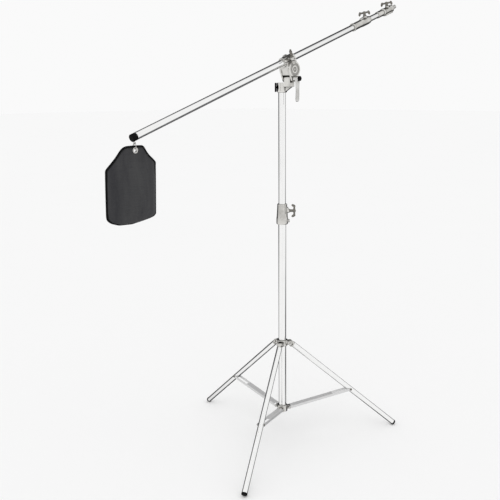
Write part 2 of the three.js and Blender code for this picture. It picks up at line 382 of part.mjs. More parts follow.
// oval link through the eye and the bag's grommet, lying across the boom
const LINK_H = 9.3, LINK_W = 7.4, LINK_R = 1.2;
class Oval extends THREE.Curve {
  getPoint(u) {
    const a = u * Math.PI * 2, c = Math.cos(a), s = Math.sin(a);
    return new THREE.Vector3(0, LINK_W * Math.sign(c) * Math.abs(c) ** 0.7, LINK_H * Math.sign(s) * Math.abs(s) ** 0.7);
  }
}
const linkGeo = (() => {
  // closed sweep of a round wire around the oval
  const N = 24, M = 8, pos = [], idx = [], c = new Oval();
  for (let i = 0; i < N; i++) {
    const u = i / N, p = c.getPoint(u), q = c.getPoint((i + 1) / N), d = q.clone().sub(p).normalize();
    const nx = new THREE.Vector3(1, 0, 0), b = d.clone().cross(nx).normalize();
    for (let j = 0; j < M; j++) {
      const a = j / M * Math.PI * 2;
      const v = p.clone().addScaledVector(nx, LINK_R * Math.cos(a)).addScaledVector(b, LINK_R * Math.sin(a));
      pos.push(v.x, v.y, v.z);
    }
  }
  for (let i = 0; i < N; i++) for (let j = 0; j < M; j++) {
    const a = i * M + j, b = i * M + (j + 1) % M, d = ((i + 1) % N) * M + j, e = ((i + 1) % N) * M + (j + 1) % M;
    idx.push(a, b, e, a, e, d);
  }
  const g = new THREE.BufferGeometry();
  g.setAttribute('position', new THREE.BufferAttribute(new Float32Array(pos), 3));
  g.setIndex(idx);
  return g;
})();
const LINK_Z = -10.2;                        // link centre below the eye's centre
add(bagGroup, 'bag_link', xf(man(linkGeo), { p: [0, 0, LINK_Z] }), STEEL());
// bag: crowned filled body under a flat neck with the grommet
const GZ = -23.5;                            // grommet centre
const top = GZ + 16.3, bottom = top - BAG_H;
// outline from the top centre to the bottom centre: distance from the bag's own middle line, height under the eye
const sideL = [[0, top], [22, -7.6], [34, -8.3], [42, -10.4], [47, -13.5], [55, -23], [67.5, -43], [83, -61], [95, -74], [100, -80.5], [101.6, -88],
  [101.8, -150], [101.2, -223], [99.4, -240], [92, -249], [80, -256], [53, -264.5], [30, -266], [0, bottom]];
const sideR = [[0, top], [20, -7.6], [30, -8.3], [38, -11.4], [46.7, -18.5], [58, -31], [74, -45], [90, -57], [97.5, -63.5], [100.5, -68], [101.5, -75],
  [101.8, -150], [101.3, -236], [99, -244], [91.2, -251], [70, -256.5], [40, -261.5], [0, bottom]];
// the bag hangs askew: its middle line runs off to one side below the eye
const middle = [[0, top], [-4.8, -18], [-11.5, -43], [-17.7, -75], [-23.2, -230], [-24, bottom]];
const at = (line, z) => {
  for (let i = 0; i < line.length - 1; i++) if (z <= line[i][1] && z >= line[i + 1][1]) {
    const k = (line[i][1] - z) / Math.max(1e-6, line[i][1] - line[i + 1][1]);
    return line[i][0] + (line[i + 1][0] - line[i][0]) * k;
  }
  return 0;
};
const bagSolid = (() => {
  // rows from top to bottom between the two edges, front and back skins bowed apart
  const NU = 10, NV = 16, zs = [];
  for (let i = 0; i <= NV; i++) zs.push(top + (bottom - top) * (0.5 - 0.5 * Math.cos(Math.PI * i / NV)));
  const pos = [], idx = [];
  const ringIdx = [];
  const thick = (u, v) => {                   // u across -1..1, v down 0..1
    const e = Math.max(0, 1 - Math.abs(u) ** 2.4), d = THREE.MathUtils.smoothstep(v, 0.16, 0.5);
    const b = 1 - THREE.MathUtils.smoothstep(v, 0.78, 1.0) * 0.75;
    return 2.6 + (BAG_TH / 2 - 2.6) * Math.sqrt(e) * d * b;
  };
  for (let i = 0; i <= NV; i++) {
    const z = zs[i], v = (top - z) / BAG_H, zc = Math.min(top - 0.6, Math.max(z, bottom + 0.6)), cx = at(middle, z), row = [];
    const x = (u) => cx + u * Math.max(at(u < 0 ? sideL : sideR, zc), 6);
    for (let j = 0; j <= NU; j++) { const u = -1 + 2 * j / NU; row.push(pos.length / 3); pos.push(x(u), -thick(u, v), z); }
    for (let j = NU; j >= 0; j--) { const u = -1 + 2 * j / NU; row.push(pos.length / 3); pos.push(x(u), thick(u, v), z); }
    ringIdx.push(row);
  }
  const K = ringIdx[0].length;
  for (let i = 0; i < NV; i++) for (let j = 0; j < K; j++) {
    const a = ringIdx[i][j], b = ringIdx[i][(j + 1) % K], c = ringIdx[i + 1][(j + 1) % K], d = ringIdx[i + 1][j];
    idx.push(a, d, c, a, c, b);
  }
  for (const [row, flip] of [[ringIdx[0], false], [ringIdx[NV], true]]) for (let j = 1; j < K - 1; j++) {
    if (flip) idx.push(row[0], row[j + 1], row[j]); else idx.push(row[0], row[j], row[j + 1]);
  }
  const g = new THREE.BufferGeometry();
  g.setAttribute('position', new THREE.BufferAttribute(new Float32Array(pos), 3));
  g.setIndex(idx);
  return man(g);
})();
add(bagGroup, 'counterweight_bag', cut(bagSolid, alongY(rod(7.9, -40, 40, 28), [0, 0, GZ])), FABRIC());
add(bagGroup, 'bag_grommet', alongY(lathe([[6, -3.8], [10.5, -3.8], [10.5, -3.0], [7.4, -2.95], [7.4, 2.95], [10.5, 3.0], [10.5, 3.8], [6, 3.8]], 28), [0, 0, GZ]), STEEL());

// ---------------------------------------------------------------- origin: under the middle of the stand's box, on the floor
stand.updateMatrixWorld(true);
const bounds = new THREE.Box3().setFromObject(stand, true);
stand.position.set(-(bounds.min.x + bounds.max.x) / 2, -(bounds.min.y + bounds.max.y) / 2, 0);
stand.updateMatrixWorld(true);

export default stand;
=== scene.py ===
import json
import math

import bmesh
import bpy
import numpy as np
from mathutils import Euler, Matrix, Vector


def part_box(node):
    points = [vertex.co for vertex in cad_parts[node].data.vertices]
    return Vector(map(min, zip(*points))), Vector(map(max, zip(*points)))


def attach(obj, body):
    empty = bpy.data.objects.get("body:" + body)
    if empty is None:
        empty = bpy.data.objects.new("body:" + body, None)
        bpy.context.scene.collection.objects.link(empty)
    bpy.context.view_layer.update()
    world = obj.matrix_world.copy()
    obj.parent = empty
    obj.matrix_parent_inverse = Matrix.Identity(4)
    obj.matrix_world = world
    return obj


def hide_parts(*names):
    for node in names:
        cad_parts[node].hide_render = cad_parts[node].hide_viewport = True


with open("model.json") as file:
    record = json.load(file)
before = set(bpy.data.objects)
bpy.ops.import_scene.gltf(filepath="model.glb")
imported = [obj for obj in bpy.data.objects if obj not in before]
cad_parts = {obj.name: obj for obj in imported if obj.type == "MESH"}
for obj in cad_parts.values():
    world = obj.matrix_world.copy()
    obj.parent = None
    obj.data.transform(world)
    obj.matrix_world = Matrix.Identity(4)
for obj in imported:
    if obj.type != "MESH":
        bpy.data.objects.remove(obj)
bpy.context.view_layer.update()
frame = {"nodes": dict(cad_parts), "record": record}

BODY_OF = {n: b for b, ns in frame["record"]["behaviour"]["bodies"].items() for n in ns}

# the part's own numbers, millimetres, measured from the column's axis at the floor
GAP = 0.3
LOW_OR, LOW_IR, LOW_Z0, LOW_Z1 = 16.2, 15.3, 127.0, 990.0
UP_OR, UP_IR, UP_Z0, UP_Z1 = 15.0, 14.1, 640.0, 1512.0
LEG_AZ = [-33.7, 86.3, 206.3]
LEG_R, LEG_Z, LEG_ANGLE = 35.4, 434.8, 48.77
LEG_OR, LEG_IR, LEG_T0, LEG_T1 = 11.25, 10.3, 16.0, 640.0
STRUT_R, STRUT_Z, STRUT_L, STRUT_UP = 30.0, 138.0, 285.5, 11.35
STRUT_IN, STRUT_OUT, STRUT_TOP, STRUT_END = 11.9, 13.3, 6.0, 5.5
STRUT_WEB0, STRUT_WEB1 = 14.0, 200.0
SCREW_AZ, SCREW_UP = -82.0, 4.0
RING_R, RING_AT, RING_TURN = 11.0, 47.0, -15.0
CLAMP_Z0, CLAMP_Z1, CLAMP_AZ, CLAMP_SCREW_Z, CLAMP_BOLT_Z, CLAMP_SLOT_AZ = 952.0, 1037.0, -50.0, 1008.0, 966.0, -102.6
SOCKET_Z0, SOCKET_Z1, SOCKET_R, KNOB_AZ, KNOB_Z = 1486.0, 1524.0, 21.0, 132.4, 1506.0
TILT_Z, BOOM_Y, BOOM_H, TILT = 1539.0, -37.0, 69.3, 19.5
CHEEK_X, CHEEK_H, CHEEK_R, CHEEK_HUB = 16.0, 32.0, 32.0, 13.0
BOOM_S = BOOM_H * math.tan(math.radians(TILT))
REAR0, REAR1, FRONT0, FRONT1 = -12.0, -19.0, -57.0, -64.0
BOOM_OR, BOOM_IR, BOOM_X0, BOOM_X1 = 13.0, 12.1, -798.0, 500.0
INNER_OR, INNER_IR, INNER_X0, INNER_X1 = 11.8, 10.9, 30.0, 664.0
COLLAR_X0, COLLAR_X1, COLLAR_SCREW = 434.0, 559.0, 533.0
END_X0, END_X1, END_SCREW = 664.5, 740.0, 708.0
STUD_R, STUD_X1 = 8.0, 769.0
EYE_X, EYE_D = -811.5, 18.5
BAG_H = 260.0
GZ = -23.5
TOP = GZ + 16.3

_lo, _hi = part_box("column_lower_tube")
OFF = Matrix.Translation(((_lo.x + _hi.x) / 2, (_lo.y + _hi.y) / 2, 0.0))
MM = 0.001


# ------------------------------------------------------------------ camera
def look(c, fw, up, rt):
    m = Matrix((
        (rt[0], up[0], -fw[0], c[0] * MM),
        (rt[1], up[1], -fw[1], c[1] * MM),
        (rt[2], up[2], -fw[2], c[2] * MM),
        (0, 0, 0, 1)))
    return OFF @ m


cam_data = bpy.data.cameras.new("camera")
cam_data.sensor_width = 36.0
cam_data.lens = 732.4234 / 500 * 36
cam_data.shift_x = -0.04
cam_data.clip_start, cam_data.clip_end = 0.05, 100
cam = bpy.data.objects.new("camera", cam_data)
bpy.context.scene.collection.objects.link(cam)
cam.matrix_world = look((-2216.96986, -2021.14933, 1475.41279), (0.71164507, 0.67143664, -0.20672234),
                        (0.15381594, 0.13819941, 0.97838724), (0.68549395, -0.72806164, -0.00492873))
bpy.context.scene.camera = cam


# ------------------------------------------------------------------ solids, as (vertices, faces) in millimetres
def rmat(r):
    x, y, z = (math.radians(a) for a in r)
    return (Matrix.Rotation(x, 4, "X") @ Matrix.Rotation(y, 4, "Y") @ Matrix.Rotation(z, 4, "Z"))


def place(p=(0, 0, 0), r=(0, 0, 0)):
    return Matrix.Translation(p) @ rmat(r)


def move(s, m):
    v, f = s
    a = np.array(m)
    w = v @ a[:3, :3].T + a[:3, 3]
    return w, f


def xf(s, p=(0, 0, 0), r=(0, 0, 0)):
    return move(s, place(p, r))


def along_x(s, p=(0, 0, 0)):
    return xf(s, p, (0, 90, 0))


def along_y(s, p=(0, 0, 0)):
    return xf(s, p, (-90, 0, 0))


def radial_m(az, z):
    return Matrix.Translation((0, 0, z)) @ Matrix.Rotation(math.radians(az), 4, "Z") @ Matrix.Rotation(math.pi / 2, 4, "Y")


def radial(s, az, z):
    return move(s, radial_m(az, z))


def join(*solids):
    vs, fs, n = [], [], 0
    for v, f in solids:
        vs.append(v)
        fs += [tuple(i + n for i in q) for q in f]
        n += len(v)
    return np.vstack(vs), fs


def soft(profile, r=0.5, n=3):
    """Rounds the corners of a profile, leaving points on the axis sharp."""
    out, pts = [], [np.array(p, float) for p in profile]
    on_axis = pts[0][0] == 0 and pts[-1][0] == 0
    k = len(pts)
    for i, p in enumerate(pts):
        if (on_axis and i in (0, k - 1)) or p[0] == 0:
            out.append(tuple(p))
            continue
        a, b = pts[i - 1] - p, pts[(i + 1) % k] - p
        la, lb = np.linalg.norm(a), np.linalg.norm(b)
        if la < 1e-6 or lb < 1e-6:
            continue
        a, b = a / la, b / lb
        cosang = float(np.clip(a @ b, -1, 1))
        if cosang < -0.985:
            out.append(tuple(p))
            continue
        half = math.acos(cosang) / 2
        d = min(r / math.tan(half), la * 0.45, lb * 0.45)
        rr = d * math.tan(half)
        bis = (a + b) / np.linalg.norm(a + b)
        c = p + bis * (rr / math.sin(half))
        p0, p1 = p + a * d, p + b * d
        a0 = math.atan2(*(p0 - c)[::-1])
        a1 = math.atan2(*(p1 - c)[::-1])
        da = (a1 - a0 + math.pi) % (2 * math.pi) - math.pi
        for j in range(n + 1):
            t = a0 + da * j / n
            out.append((c[0] + rr * math.cos(t), c[1] + rr * math.sin(t)))
    return out


def lathe(profile, seg=64, r=0.5, n=3):
    """Solid of revolution about Z from [radius, height] pairs, closed on the axis or on itself."""
    pts = soft(profile, r, n) if r else list(profile)
    on_axis = pts[0][0] == 0 and pts[-1][0] == 0
    v, rings, faces = [], [], []
    for (rr, z) in pts:
        if rr <= 1e-9:
            rings.append([len(v)])
            v.append((0, 0, z))
        else:
            rings.append(list(range(len(v), len(v) + seg)))
            v += [(rr * math.cos(2 * math.pi * i / seg), rr * math.sin(2 * math.pi * i / seg), z) for i in range(seg)]
    pairs = list(zip(rings, rings[1:])) + ([] if on_axis else [(rings[-1], rings[0])])
    for a, b in pairs:
        for i in range(seg):
            j = (i + 1) % seg
            q = [a[i % len(a)], a[j % len(a)], b[j % len(b)], b[i % len(b)]]
            q = [x for k, x in enumerate(q) if x not in q[:k]]
            if len(q) > 2:
                faces.append(tuple(q))
    return np.array(v, float), faces


def rod(r, z0, z1, seg=64):
    return lathe([[0, z0], [r, z0], [r, z1], [0, z1]], seg, 0)


def pin(r, z0, z1, c=0.6, seg=48):
    return lathe([[0, z0], [r - c, z0], [r, z0 + c], [r, z1 - c], [r - c, z1], [0, z1]], seg, 0.25, 2)


def pipe(ri, ro, z0, z1, seg=96, r=0.25):
    return lathe([[ri, z0], [ro, z0], [ro, z1], [ri, z1]], seg, r, 3)


def slab(outline, z0, z1):
    n = len(outline)
    v = [(x, y, z0) for x, y in outline] + [(x, y, z1) for x, y in outline]
    f = [tuple(reversed(range(n))), tuple(range(n, 2 * n))]
    f += [(i, (i + 1) % n, (i + 1) % n + n, i + n) for i in range(n)]
    return np.array(v, float), f


def box(x0, x1, y0, y1, z0, z1):
    return slab([(x0, y0), (x1, y0), (x1, y1), (x0, y1)], z0, z1)


def slab_xz(outline, y0, y1):
    return xf(slab(outline, -y1, -y0), r=(90, 0, 0))


def circle(cx, cy, r, n=48, a0=0.0, a1=360.0):
    k = n if a1 - a0 == 360 else n + 1
    return [(cx + r * math.cos(math.radians(a0 + (a1 - a0) * i / n)), cy + r * math.sin(math.radians(a0 + (a1 - a0) * i / n))) for i in range(k)]


def torus(R, r, n=64, m=20):
    v, f = [], []
    for i in range(n):
        a = 2 * math.pi * i / n
        for j in range(m):
            b = 2 * math.pi * j / m
            v.append(((R + r * math.cos(b)) * math.cos(a), (R + r * math.cos(b)) * math.sin(a), r * math.sin(b)))
    for i in range(n):
        for j in range(m):
            f.append((i * m + j, ((i + 1) % n) * m + j, ((i + 1) % n) * m + (j + 1) % m, i * m + (j + 1) % m))
    return np.array(v, float), f


def wire(points, r, m=16, closed=True):
    """A round wire swept along a list of points."""
    P = [np.array(p, float) for p in points]
    n, v, f = len(P), [], []
    ref = np.array((1.0, 0, 0))
    for i in range(n):
        d = P[(i + 1) % n] - P[i - 1] if closed else P[min(i + 1, n - 1)] - P[max(i - 1, 0)]
        d = d / np.linalg.norm(d)
        a = ref - d * (ref @ d)
        if np.linalg.norm(a) < 1e-3:
            a = np.cross(d, (0, 0, 1.0))
        a = a / np.linalg.norm(a)
        b = np.cross(d, a)
        for j in range(m):
            t = 2 * math.pi * j / m
            v.append(P[i] + a * r * math.cos(t) + b * r * math.sin(t))
    for i in range(n if closed else n - 1):
        for j in range(m):
            k = (i + 1) % n
            f.append((i * m + j, i * m + (j + 1) % m, k * m + (j + 1) % m, k * m + j))
    if not closed:
        f.append(tuple(reversed(range(m))))
        f.append(tuple(range((n - 1) * m, n * m)))
    return np.array(v, float), f


# ------------------------------------------------------------------ solids to Blender meshes
def to_mesh(s, name="m"):
    v, f = s
    me = bpy.data.meshes.new(name)
    me.from_pydata((v * MM).tolist(), [], f)
    bm = bmesh.new()
    bm.from_mesh(me)
    bmesh.ops.recalc_face_normals(bm, faces=bm.faces)
    bm.to_mesh(me)
    bm.free()
    return me


def temp(me):
    o = bpy.data.objects.new("tmp", me)
    bpy.context.scene.collection.objects.link(o)
    return o


def baked(o):
    """The mesh of an object with its modifiers applied; the object is removed."""
    dg = bpy.context.evaluated_depsgraph_get()
    dg.update()
    me = bpy.data.meshes.new_from_object(o.evaluated_get(dg))
    old = o.data
    bpy.data.objects.remove(o)
    if old.users == 0:
        bpy.data.meshes.remove(old)
    return me


def boolean(me, cutters, op="DIFFERENCE"):
    """Joins or cuts with each closed solid in turn."""
    for c in cutters:
        o, k = temp(me), temp(to_mesh(c))
        b = o.modifiers.new("b", "BOOLEAN")
        b.operation, b.solver, b.object = op, "EXACT", k
        me = baked(o)
        if len(me.polygons) < 12:
            raise RuntimeError("a boolean emptied a piece")
        old = k.data
        bpy.data.objects.remove(k)
        bpy.data.meshes.remove(old)
    return me


def cast(solids, voxel=0.8, smooth=5, keep=16000, cuts=()):
    """A cast piece: the union of the solids with filleted junctions and soft edges, then its machined bores."""
    o = temp(to_mesh(join(*solids)))
    r = o.modifiers.new("r", "REMESH")
    r.mode, r.voxel_size = "VOXEL", voxel * MM
    s = o.modifiers.new("s", "SMOOTH")
    s.factor, s.iterations = 0.5, smooth
    me = baked(o)
    if len(me.polygons) * 2 > keep:
        o = temp(me)
        d = o.modifiers.new("d", "DECIMATE")
        d.ratio = keep / (len(me.polygons) * 2)
        me = baked(o)
    return boolean(me, cuts)


def bevelled(me, width=0.4, seg=2, angle=40):
    o = temp(me)
    b = o.modifiers.new("b", "BEVEL")
    b.width, b.segments, b.limit_method, b.angle_limit = width * MM, seg, "ANGLE", math.radians(angle)
    b.use_clamp_overlap = True
    return baked(o)


def shade(me, angle=32):
    for p in me.polygons:
        p.use_smooth = True
    me.set_sharp_from_angle(angle=math.radians(angle))
    return me


# ------------------------------------------------------------------ materials
def nodes_of(name):
    m = bpy.data.materials.new(name)
    m.use_nodes = True
    nt = m.node_tree
    return m, nt, nt.nodes["Principled BSDF"]


class N:
    """Short hand for building a node tree."""

    def __init__(self, nt):
        self.nt = nt

    def new(self, kind, **props):
        n = self.nt.nodes.new(kind)
        for k, v in props.items():
            setattr(n, k, v)
        return n

    def link(self, a, b):
        self.nt.links.new(a, b)

    def val(self, sock, v):
        if isinstance(v, bpy.types.NodeSocket):
            self.link(v, sock)
        else:
            sock.default_value = v

    def coords(self, scale=(1, 1, 1)):
        t = self.new("ShaderNodeTexCoord")
        mp = self.new("ShaderNodeMapping")
        mp.inputs["Scale"].default_value = scale
        self.link(t.outputs["Object"], mp.inputs["Vector"])
        return mp.outputs["Vector"]

    def noise(self, vec, scale, detail=4.0, rough=0.55):
        n = self.new("ShaderNodeTexNoise")
        self.link(vec, n.inputs["Vector"])
        n.inputs["Scale"].default_value, n.inputs["Detail"].default_value, n.inputs["Roughness"].default_value = scale, detail, rough
        return n.outputs["Fac"]

    def ramp(self, fac, *stops):
        r = self.new("ShaderNodeValToRGB")
        self.link(fac, r.inputs["Fac"])
        e = r.color_ramp.elements
        while len(e) < len(stops):
            e.new(0.5)
        for x, (p, c) in zip(e, stops):
            x.position = p
            x.color = (c, c, c, 1) if isinstance(c, (int, float)) else (*c, 1)
        return r.outputs["Color"]

    def math(self, op, a, b=0.0, c=0.0):
        m = self.new("ShaderNodeMath", operation=op)
        for s, v in zip(m.inputs, (a, b, c)):
            self.val(s, v)
        return m.outputs[0]

    def mix(self, fac, a, b, blend="MIX"):
        m = self.new("ShaderNodeMix", data_type="RGBA", blend_type=blend)
        self.val(m.inputs["Factor"], fac)
        for s, v in ((m.inputs[6], a), (m.inputs[7], b)):
            if isinstance(v, tuple) and len(v) == 3:
                v = (*v, 1)
            self.val(s, v)
        return m.outputs[2]

    def bump(self, height, strength=0.2, dist=0.0002, normal=None):
        b = self.new("ShaderNodeBump")
        b.inputs["Strength"].default_value, b.inputs["Distance"].default_value = strength, dist
        self.link(height, b.inputs["Height"])
        if normal:
            self.link(normal, b.inputs["Normal"])
        return b.outputs["Normal"]


def metal(name, base, dark, rough, edge=0.6, metallic=1.0, stretch=(1, 1, 1), fine=900.0, bump=0.05, wear_and_shade=0.0, spots=0.25, painted_ao_shade=0.0):
    m, nt, p = nodes_of(name)
    n = N(nt)
    big = n.noise(n.coords(), 22.0, 5.0)
    grain = n.noise(n.coords(stretch), fine, 3.0, 0.6)
    col = n.mix(n.math("MULTIPLY", n.ramp(big, (0.35, 0.0), (0.75, 1.0)), spots), base, dark)
    # painted shade: where ambient occlusion finds nooks, corners and recesses, the base colour darkens toward a deep
    # dark tone
    if painted_ao_shade:
        ao = n.new("ShaderNodeAmbientOcclusion")
        ao.samples = 6
        ao.inputs["Distance"].default_value = 0.012
        ao_shade_mask = n.ramp(ao.outputs["AO"], (0.45, 1.0), (0.93, 0.0))
        col = n.mix(n.math("MULTIPLY", ao_shade_mask, painted_ao_shade), col, tuple(c * 0.30 for c in dark))
    # rubbed wear lightens the sharp edges; the crevices get painted shade
    if wear_and_shade:
        geo = n.new("ShaderNodeNewGeometry")
        edges = n.ramp(geo.outputs["Pointiness"], (0.5, 0.0), (0.56, 1.0))
        col = n.mix(n.math("MULTIPLY", edges, wear_and_shade), col, tuple(min(1.0, c * 1.35) for c in base))
        # painted shade: crevices, found by low pointiness, darken toward a deep dark tone
        painted_crevice_shade = n.ramp(geo.outputs["Pointiness"], (0.42, 1.0), (0.49, 0.0))
        col = n.mix(n.math("MULTIPLY", painted_crevice_shade, 0.55), col, tuple(c * 0.4 for c in dark))
    n.link(col, p.inputs["Base Color"])
    p.inputs["Metallic"].default_value = metallic
    r = n.math("ADD", rough, n.math("MULTIPLY", n.math("SUBTRACT", grain, 0.5), rough * 0.5))
    r = n.math("ADD", r, n.math("MULTIPLY", n.math("SUBTRACT", big, 0.5), rough * 0.35))
    n.link(r, p.inputs["Roughness"])
    p.inputs["Specular Tint"].default_value = (edge, edge, edge, 1)
    n.link(n.bump(grain, bump, 0.00008), p.inputs["Normal"])
    return m


# tubes: drawn and polished, fine lines along Z of the piece's own frame
TUBE = metal("polished_tube", (0.93, 0.93, 0.925), (0.84, 0.84, 0.83), 0.10, edge=0.12, stretch=(1, 1, 0.012), fine=2600.0, bump=0.05, spots=0.35)
# castings and lever: painted shade darkens their nooks and recesses; like the other metals with edge wear, their
# crevices also carry painted shade
SATIN = metal("satin_casting", (0.74, 0.73, 0.70), (0.36, 0.35, 0.33), 0.13, edge=0.10, fine=500.0, bump=0.06, wear_and_shade=0.5, spots=0.9, painted_ao_shade=0.85)
# struts: folded sheet, zinc plated, greyer and duller than the castings
PLATED = metal("plated_sheet", (0.60, 0.60, 0.60), (0.50, 0.50, 0.50), 0.36, edge=0.5, metallic=0.35, stretch=(0.08, 1, 1), fine=900.0, bump=0.08, wear_and_shade=0.3)
LEVER = metal("polished_lever", (0.66, 0.655, 0.64), (0.36, 0.355, 0.34), 0.13, edge=0.08, spots=0.8, painted_ao_shade=0.8, fine=500.0, bump=0.04, wear_and_shade=0.3)
STEEL = metal("bare_steel", (0.55, 0.54, 0.52), (0.38, 0.37, 0.35), 0.24, edge=0.4, stretch=(1, 1, 6), fine=900.0, bump=0.08, wear_and_shade=0.3)
NICKEL = metal("dark_nickel", (0.20, 0.19, 0.17), (0.10, 0.095, 0.085), 0.26, edge=0.5, fine=600.0, bump=0.08, wear_and_shade=0.6)


def plastic(name, base, rough=0.48):
    m, nt, p = nodes_of(name)
    n = N(nt)
    g = n.noise(n.coords(), 1800.0, 2.0)
    big = n.noise(n.coords(), 60.0, 4.0)
    n.link(n.mix(n.math("MULTIPLY", big, 0.5), base, tuple(c * 1.9 for c in base)), p.inputs["Base Color"])
    n.link(n.math("ADD", rough, n.math("MULTIPLY", n.math("SUBTRACT", big, 0.5), 0.2)), p.inputs["Roughness"])
    p.inputs["Specular IOR Level"].default_value = 0.06
    n.link(n.bump(g, 0.25, 0.00008), p.inputs["Normal"])
    return m


BLACK = plastic("black_plastic", (0.0035, 0.0035, 0.0038))


def fabric(name, base, light, pitch=0.9, rib=False, soft_=0.10):
    m, nt, p = nodes_of(name)
    n = N(nt)
    t = n.new("ShaderNodeTexCoord")
    sep = n.new("ShaderNodeSeparateXYZ")
    n.link(t.outputs["Object"], sep.inputs[0])
    w = 2 * math.pi / (pitch * MM)
    warp = n.math("SINE", n.math("MULTIPLY", sep.outputs["X"], w))
    weft = n.math("SINE", n.math("MULTIPLY", sep.outputs["Z"], w))
    weave = n.math("MULTIPLY", warp, weft) if not rib else weft
    slub = n.noise(n.coords((1, 1, 0.06)), 420.0, 3.0)
    slub2 = n.noise(n.coords((0.06, 1, 1)), 420.0, 3.0)
    # painted light and shade: soft vertical bands of lighter and darker colour, randomly placed, stand in for the
    # shading of slack folds
    painted_fold_bands = n.noise(n.coords((1, 1, 0.12)), 17.0, 3.0)
    height = n.math("ADD", n.math("MULTIPLY", weave, 0.35), n.math("ADD", slub, slub2))
    fac = n.math("ADD", n.math("MULTIPLY", weave, 0.10), n.math("MULTIPLY", n.math("ADD", slub, slub2), 0.32))
    fac = n.math("ADD", fac, n.math("MULTIPLY", n.math("SUBTRACT", painted_fold_bands, 0.3), 1.4))
    n.link(n.mix(n.ramp(fac, (0.25, 0.0), (0.95, 1.0)), base, light), p.inputs["Base Color"])
    p.inputs["Roughness"].default_value = 0.82
    p.inputs["Sheen Weight"].default_value = soft_
    p.inputs["Sheen Roughness"].default_value = 0.5
    p.inputs["Specular IOR Level"].default_value = soft_
    crease = n.noise(n.coords((1, 1, 0.5)), 26.0, 5.0)
    b1 = n.bump(crease, 0.35, 0.003)
    n.link(n.bump(height, 0.35, 0.00022, b1), p.inputs["Normal"])
    return m


FABRIC = fabric("bag_fabric", (0.026, 0.026, 0.030), (0.062, 0.062, 0.063))
BINDING = fabric("bag_binding", (0.003, 0.003, 0.0033), (0.009, 0.009, 0.0095), pitch=1.3, rib=True, soft_=0.03)
THREAD = fabric("bag_thread", (0.020, 0.020, 0.022), (0.040, 0.040, 0.042), pitch=0.5)


# ------------------------------------------------------------------ putting pieces on the frame
COLUMN = OFF
LEGS, ARMS, STRUTS = [], [], []
for _az in LEG_AZ:
    arm = OFF @ Matrix.Rotation(math.radians(_az), 4, "Z")
    ARMS.append(arm)
    LEGS.append((arm, place((LEG_R, 0, LEG_Z), (0, 180 - LEG_ANGLE, 0))))
    STRUTS.append((arm, place((STRUT_R, 0, STRUT_Z), (0, -STRUT_UP, 0))))


def mm(m):
    """A millimetre transform as metres."""
    out = m.copy()
    out.translation = out.translation * MM
    return out


TILT_M = OFF @ mm(place((0, 0, TILT_Z), (0, -TILT, 0)))
BOOM_M = TILT_M @ mm(place((BOOM_S, BOOM_Y, BOOM_H)))
LEVER_M = OFF @ mm(place((0, 0, TILT_Z)))
_t = math.radians(TILT)
EYE = ((EYE_X + BOOM_S) * math.cos(_t) - (BOOM_H - EYE_D) * math.sin(_t), BOOM_Y,
       TILT_Z + (EYE_X + BOOM_S) * math.sin(_t) + (BOOM_H - EYE_D) * math.cos(_t))
BAG_M = OFF @ mm(place(EYE))
X_AXIS = place((0, 0, 0), (0, 90, 0))
Y_AXIS = place((0, 0, 0), (-90, 0, 0))


def put(name, me, material, frame_m=None, node=None, angle=32):
    """Adds a piece on the body of the CAD node that it stands for."""
    node = node or name
    me.materials.clear()
    me.materials.append(material)
    shade(me, angle)
    me.name = name + "_mesh"
    o = bpy.data.objects.new(name + "_skin" if name in frame["nodes"] else name, me)
    bpy.context.scene.collection.objects.link(o)
    o.matrix_world = frame_m if frame_m is not None else OFF
    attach(o, BODY_OF[node])
    if name == node:
        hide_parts(node)
    return o


def turned(name, solid, material, m, angle=32):
    return put(name, to_mesh(solid), material, m, angle=angle)


# ------------------------------------------------------------------ column
turned("column_lower_tube", pipe(LOW_IR, LOW_OR, LOW_Z0, LOW_Z1, 128), TUBE, OFF)
turned("column_upper_tube", pipe(UP_IR, UP_OR, UP_Z0, UP_Z1, 128), TUBE, OFF)
turned("column_end_plug", lathe([[0, 120], [15.2, 120], [16.2, 121.2], [16.2, LOW_Z0 - GAP], [LOW_IR - GAP, LOW_Z0 - GAP],
                                 [LOW_IR - GAP, 147], [14, 148.5], [0, 148.5]], 96, 0.4), BLACK, OFF)
turned("column_inner_plug", lathe([[0, UP_Z0 - 7], [UP_OR - 0.8, UP_Z0 - 7], [UP_OR, UP_Z0 - 6.2], [UP_OR, UP_Z0 - GAP], [UP_IR - GAP, UP_Z0 - GAP],
                                   [UP_IR - GAP, UP_Z0 + 22], [0, UP_Z0 + 22]], 96, 0.3), BLACK, OFF)

# lower hub
parts = [lathe([[0, 123], [20.7, 123], [21.5, 123.8], [21.5, 150.2], [20.7, 151], [0, 151]], 96, 0.4)]
holes = [rod(LOW_OR + GAP, 118, 156, 96)]
for az in LEG_AZ:
    R = Matrix.Rotation(math.radians(az), 4, "Z")
    parts += [move(box(15, STRUT_R, -7, 7, STRUT_Z - 8, STRUT_Z + 8), R), move(along_y(rod(8, -7, 7), (STRUT_R, 0, STRUT_Z)), R)]
    holes.append(move(along_y(rod(2.8, -8, 8, 32), (STRUT_R, 0, STRUT_Z)), R))
put("strut_hub", cast(parts, 0.7, 4, 16000, holes), SATIN, OFF)

